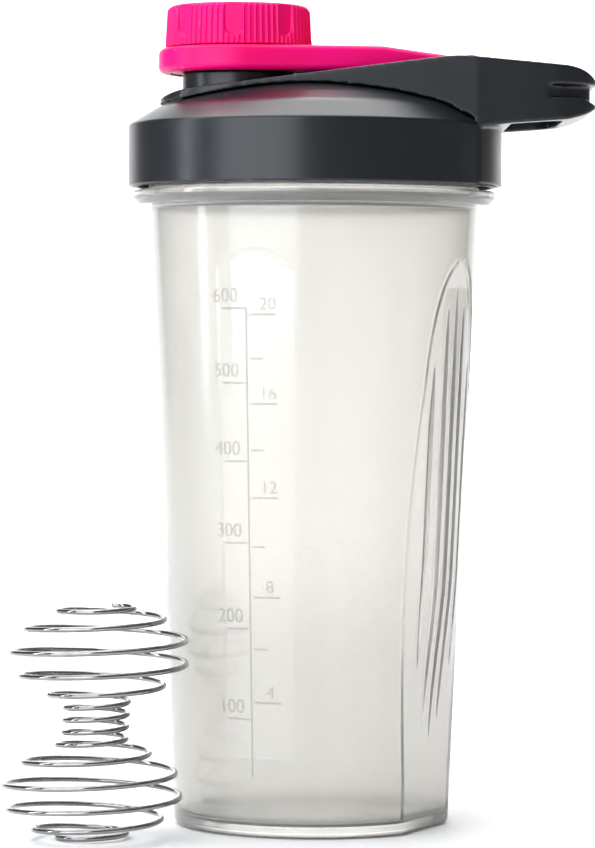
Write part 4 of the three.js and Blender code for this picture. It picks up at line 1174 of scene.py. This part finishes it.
def whisk(finish):
    """A springy ball of one polished wire: two open lobes with a close-wound neck between."""
    foot_x, foot_y = WHISK_DISTANCE * math.cos(WHISK_AZIMUTH), WHISK_DISTANCE * math.sin(WHISK_AZIMUTH)
    step = 2 * WHISK_HALF_TURNS / WHISK_STEPS
    path, z = [], WIRE_RADIUS
    for i in range(WHISK_STEPS + 1):
        turns = i * step - WHISK_HALF_TURNS
        radius = WHISK_NECK_RADIUS + (WHISK_LOBE_RADIUS - WHISK_NECK_RADIUS) * lobe(turns)
        angle = 2 * math.pi * (turns + WHISK_HALF_TURNS) + math.pi
        x = foot_x + WHISK_LEAN * z + radius * math.cos(angle)
        path.append((x, foot_y + radius * math.sin(angle), z))
        at_end = abs(turns) > WHISK_END_TURNS
        z += step * (WHISK_END_RISE if at_end else WHISK_NECK_RISE + WHISK_LOBE_RISE * lobe(turns))
    mesh = mesh_of("whisk_wire", swept(path, WIRE_RADIUS, 14))
    show("whisk_wire", mesh, finish, "whisk", "wire", "whisk")


# ---- floor, light and camera

CAMERA_PLACE = Vector((-4.1, -1024, 131)) * MM
CAMERA_PITCH = 1.325
CAMERA_ROLL = 0.28
CAMERA_LENS = 161.8
FLOOR_FRONT = -3000
FLOOR_BACK = 1200
FLOOR_HALF_WIDTH = 3500
SWEEP_RADIUS = 900
SWEEP_TOP = 3200
SWEEP_HALF_WIDTH = 1400


def studio_floor():
    """A pale floor that sweeps up behind the object."""
    finish, tree, shader = new_finish("studio_floor", Roughness=0.7, IOR=1.3)
    stops = [(0.3, (0.93, 0.93, 0.93)), (0.7, (0.95, 0.95, 0.95))]
    colour = ramp(tree, object_noise(tree, 4), stops)
    tree.links.new(colour, shader.inputs["Base Color"])
    grain(tree, shader, [(400, 0.02, 0.1, EVEN)])
    profile = [(FLOOR_FRONT, 0), (FLOOR_BACK, 0)]
    profile += arc((FLOOR_BACK, SWEEP_RADIUS), SWEEP_RADIUS, -90, 0, 24)[1:]
    profile += [(FLOOR_BACK + SWEEP_RADIUS, SWEEP_TOP)]
    points = []
    for y, z in profile:
        wide = FLOOR_HALF_WIDTH if z < 1 else SWEEP_HALF_WIDTH
        points += [(-wide, y, z), (wide, y, z)]
    faces = [(2 * i, 2 * i + 1, 2 * i + 3, 2 * i + 2) for i in range(len(profile) - 1)]
    floor = add_object("studio_floor", mesh_of("studio_floor", (points, faces)))
    floor.data.materials.append(finish)


def softbox(name, place, target, width, height, power, colour=(1, 1, 1)):
    """A rectangular light at a place, in metres, that faces a target."""
    light = bpy.data.lights.new(name, "AREA")
    light.shape = "RECTANGLE"
    light.size, light.size_y = width, height
    light.energy = power
    light.color = colour
    holder = bpy.data.objects.new(name, light)
    holder.location = place
    holder.rotation_euler = (Vector(target) - Vector(place)).to_track_quat("-Z", "Y").to_euler()
    bpy.context.scene.collection.objects.link(holder)


def lights():
    world = bpy.data.worlds.new("studio")
    world.use_nodes = True
    background = world.node_tree.nodes["Background"]
    background.inputs["Color"].default_value = (1, 1, 1, 1)
    background.inputs["Strength"].default_value = 0.2
    bpy.context.scene.world = world
    middle = (0, 0, 0.11)
    softbox("top", (-0.2, 0.25, 1.7), middle, 2.2, 2.0, 46)
    softbox("front_left", (-0.75, -1.05, 0.5), middle, 1.3, 1.1, 15, (0.9, 0.95, 1.0))
    softbox("left", (-1.3, -0.14, 0.5), middle, 0.16, 1.0, 4, (0.85, 0.93, 1.0))
    softbox("back", (0, 1.1, 0.9), (0, 2.0, 0.5), 2.4, 1.4, 21)
    bpy.context.scene.view_settings.view_transform = "Standard"


def camera():
    data = bpy.data.cameras.new("camera")
    data.lens = CAMERA_LENS
    data.sensor_width = 36
    data.clip_end = 20
    holder = bpy.data.objects.new("camera", data)
    level = Matrix.Rotation(math.radians(90 - CAMERA_PITCH), 4, "X")
    roll = Matrix.Rotation(math.radians(CAMERA_ROLL), 4, "Z")
    holder.matrix_world = Matrix.Translation(CAMERA_PLACE) @ level @ roll
    bpy.context.scene.collection.objects.link(holder)
    bpy.context.scene.camera = holder


# ---- the bottle

camera()
studio_floor()
lights()

CUP_FINISH = cup_plastic()
DARK_FINISH = dark_plastic()
PINK_FINISH = pink_plastic()
SILICONE_FINISH = silicone()

cup(CUP_FINISH)
graduations(CUP_FINISH)
lid(DARK_FINISH)
gasket(SILICONE_FINISH)
handle_frame(DARK_FINISH)
hinge_pin(steel("pin_steel", (0.4, 0.4, 0.41), (0.54, 0.535, 0.54), 0.3, 0.42))
cap_arm(PINK_FINISH)
spout_cap(PINK_FINISH)
cap_seal(SILICONE_FINISH)
whisk(steel("wire", (0.26, 0.255, 0.26), (0.36, 0.355, 0.355), 0.05, 0.1))
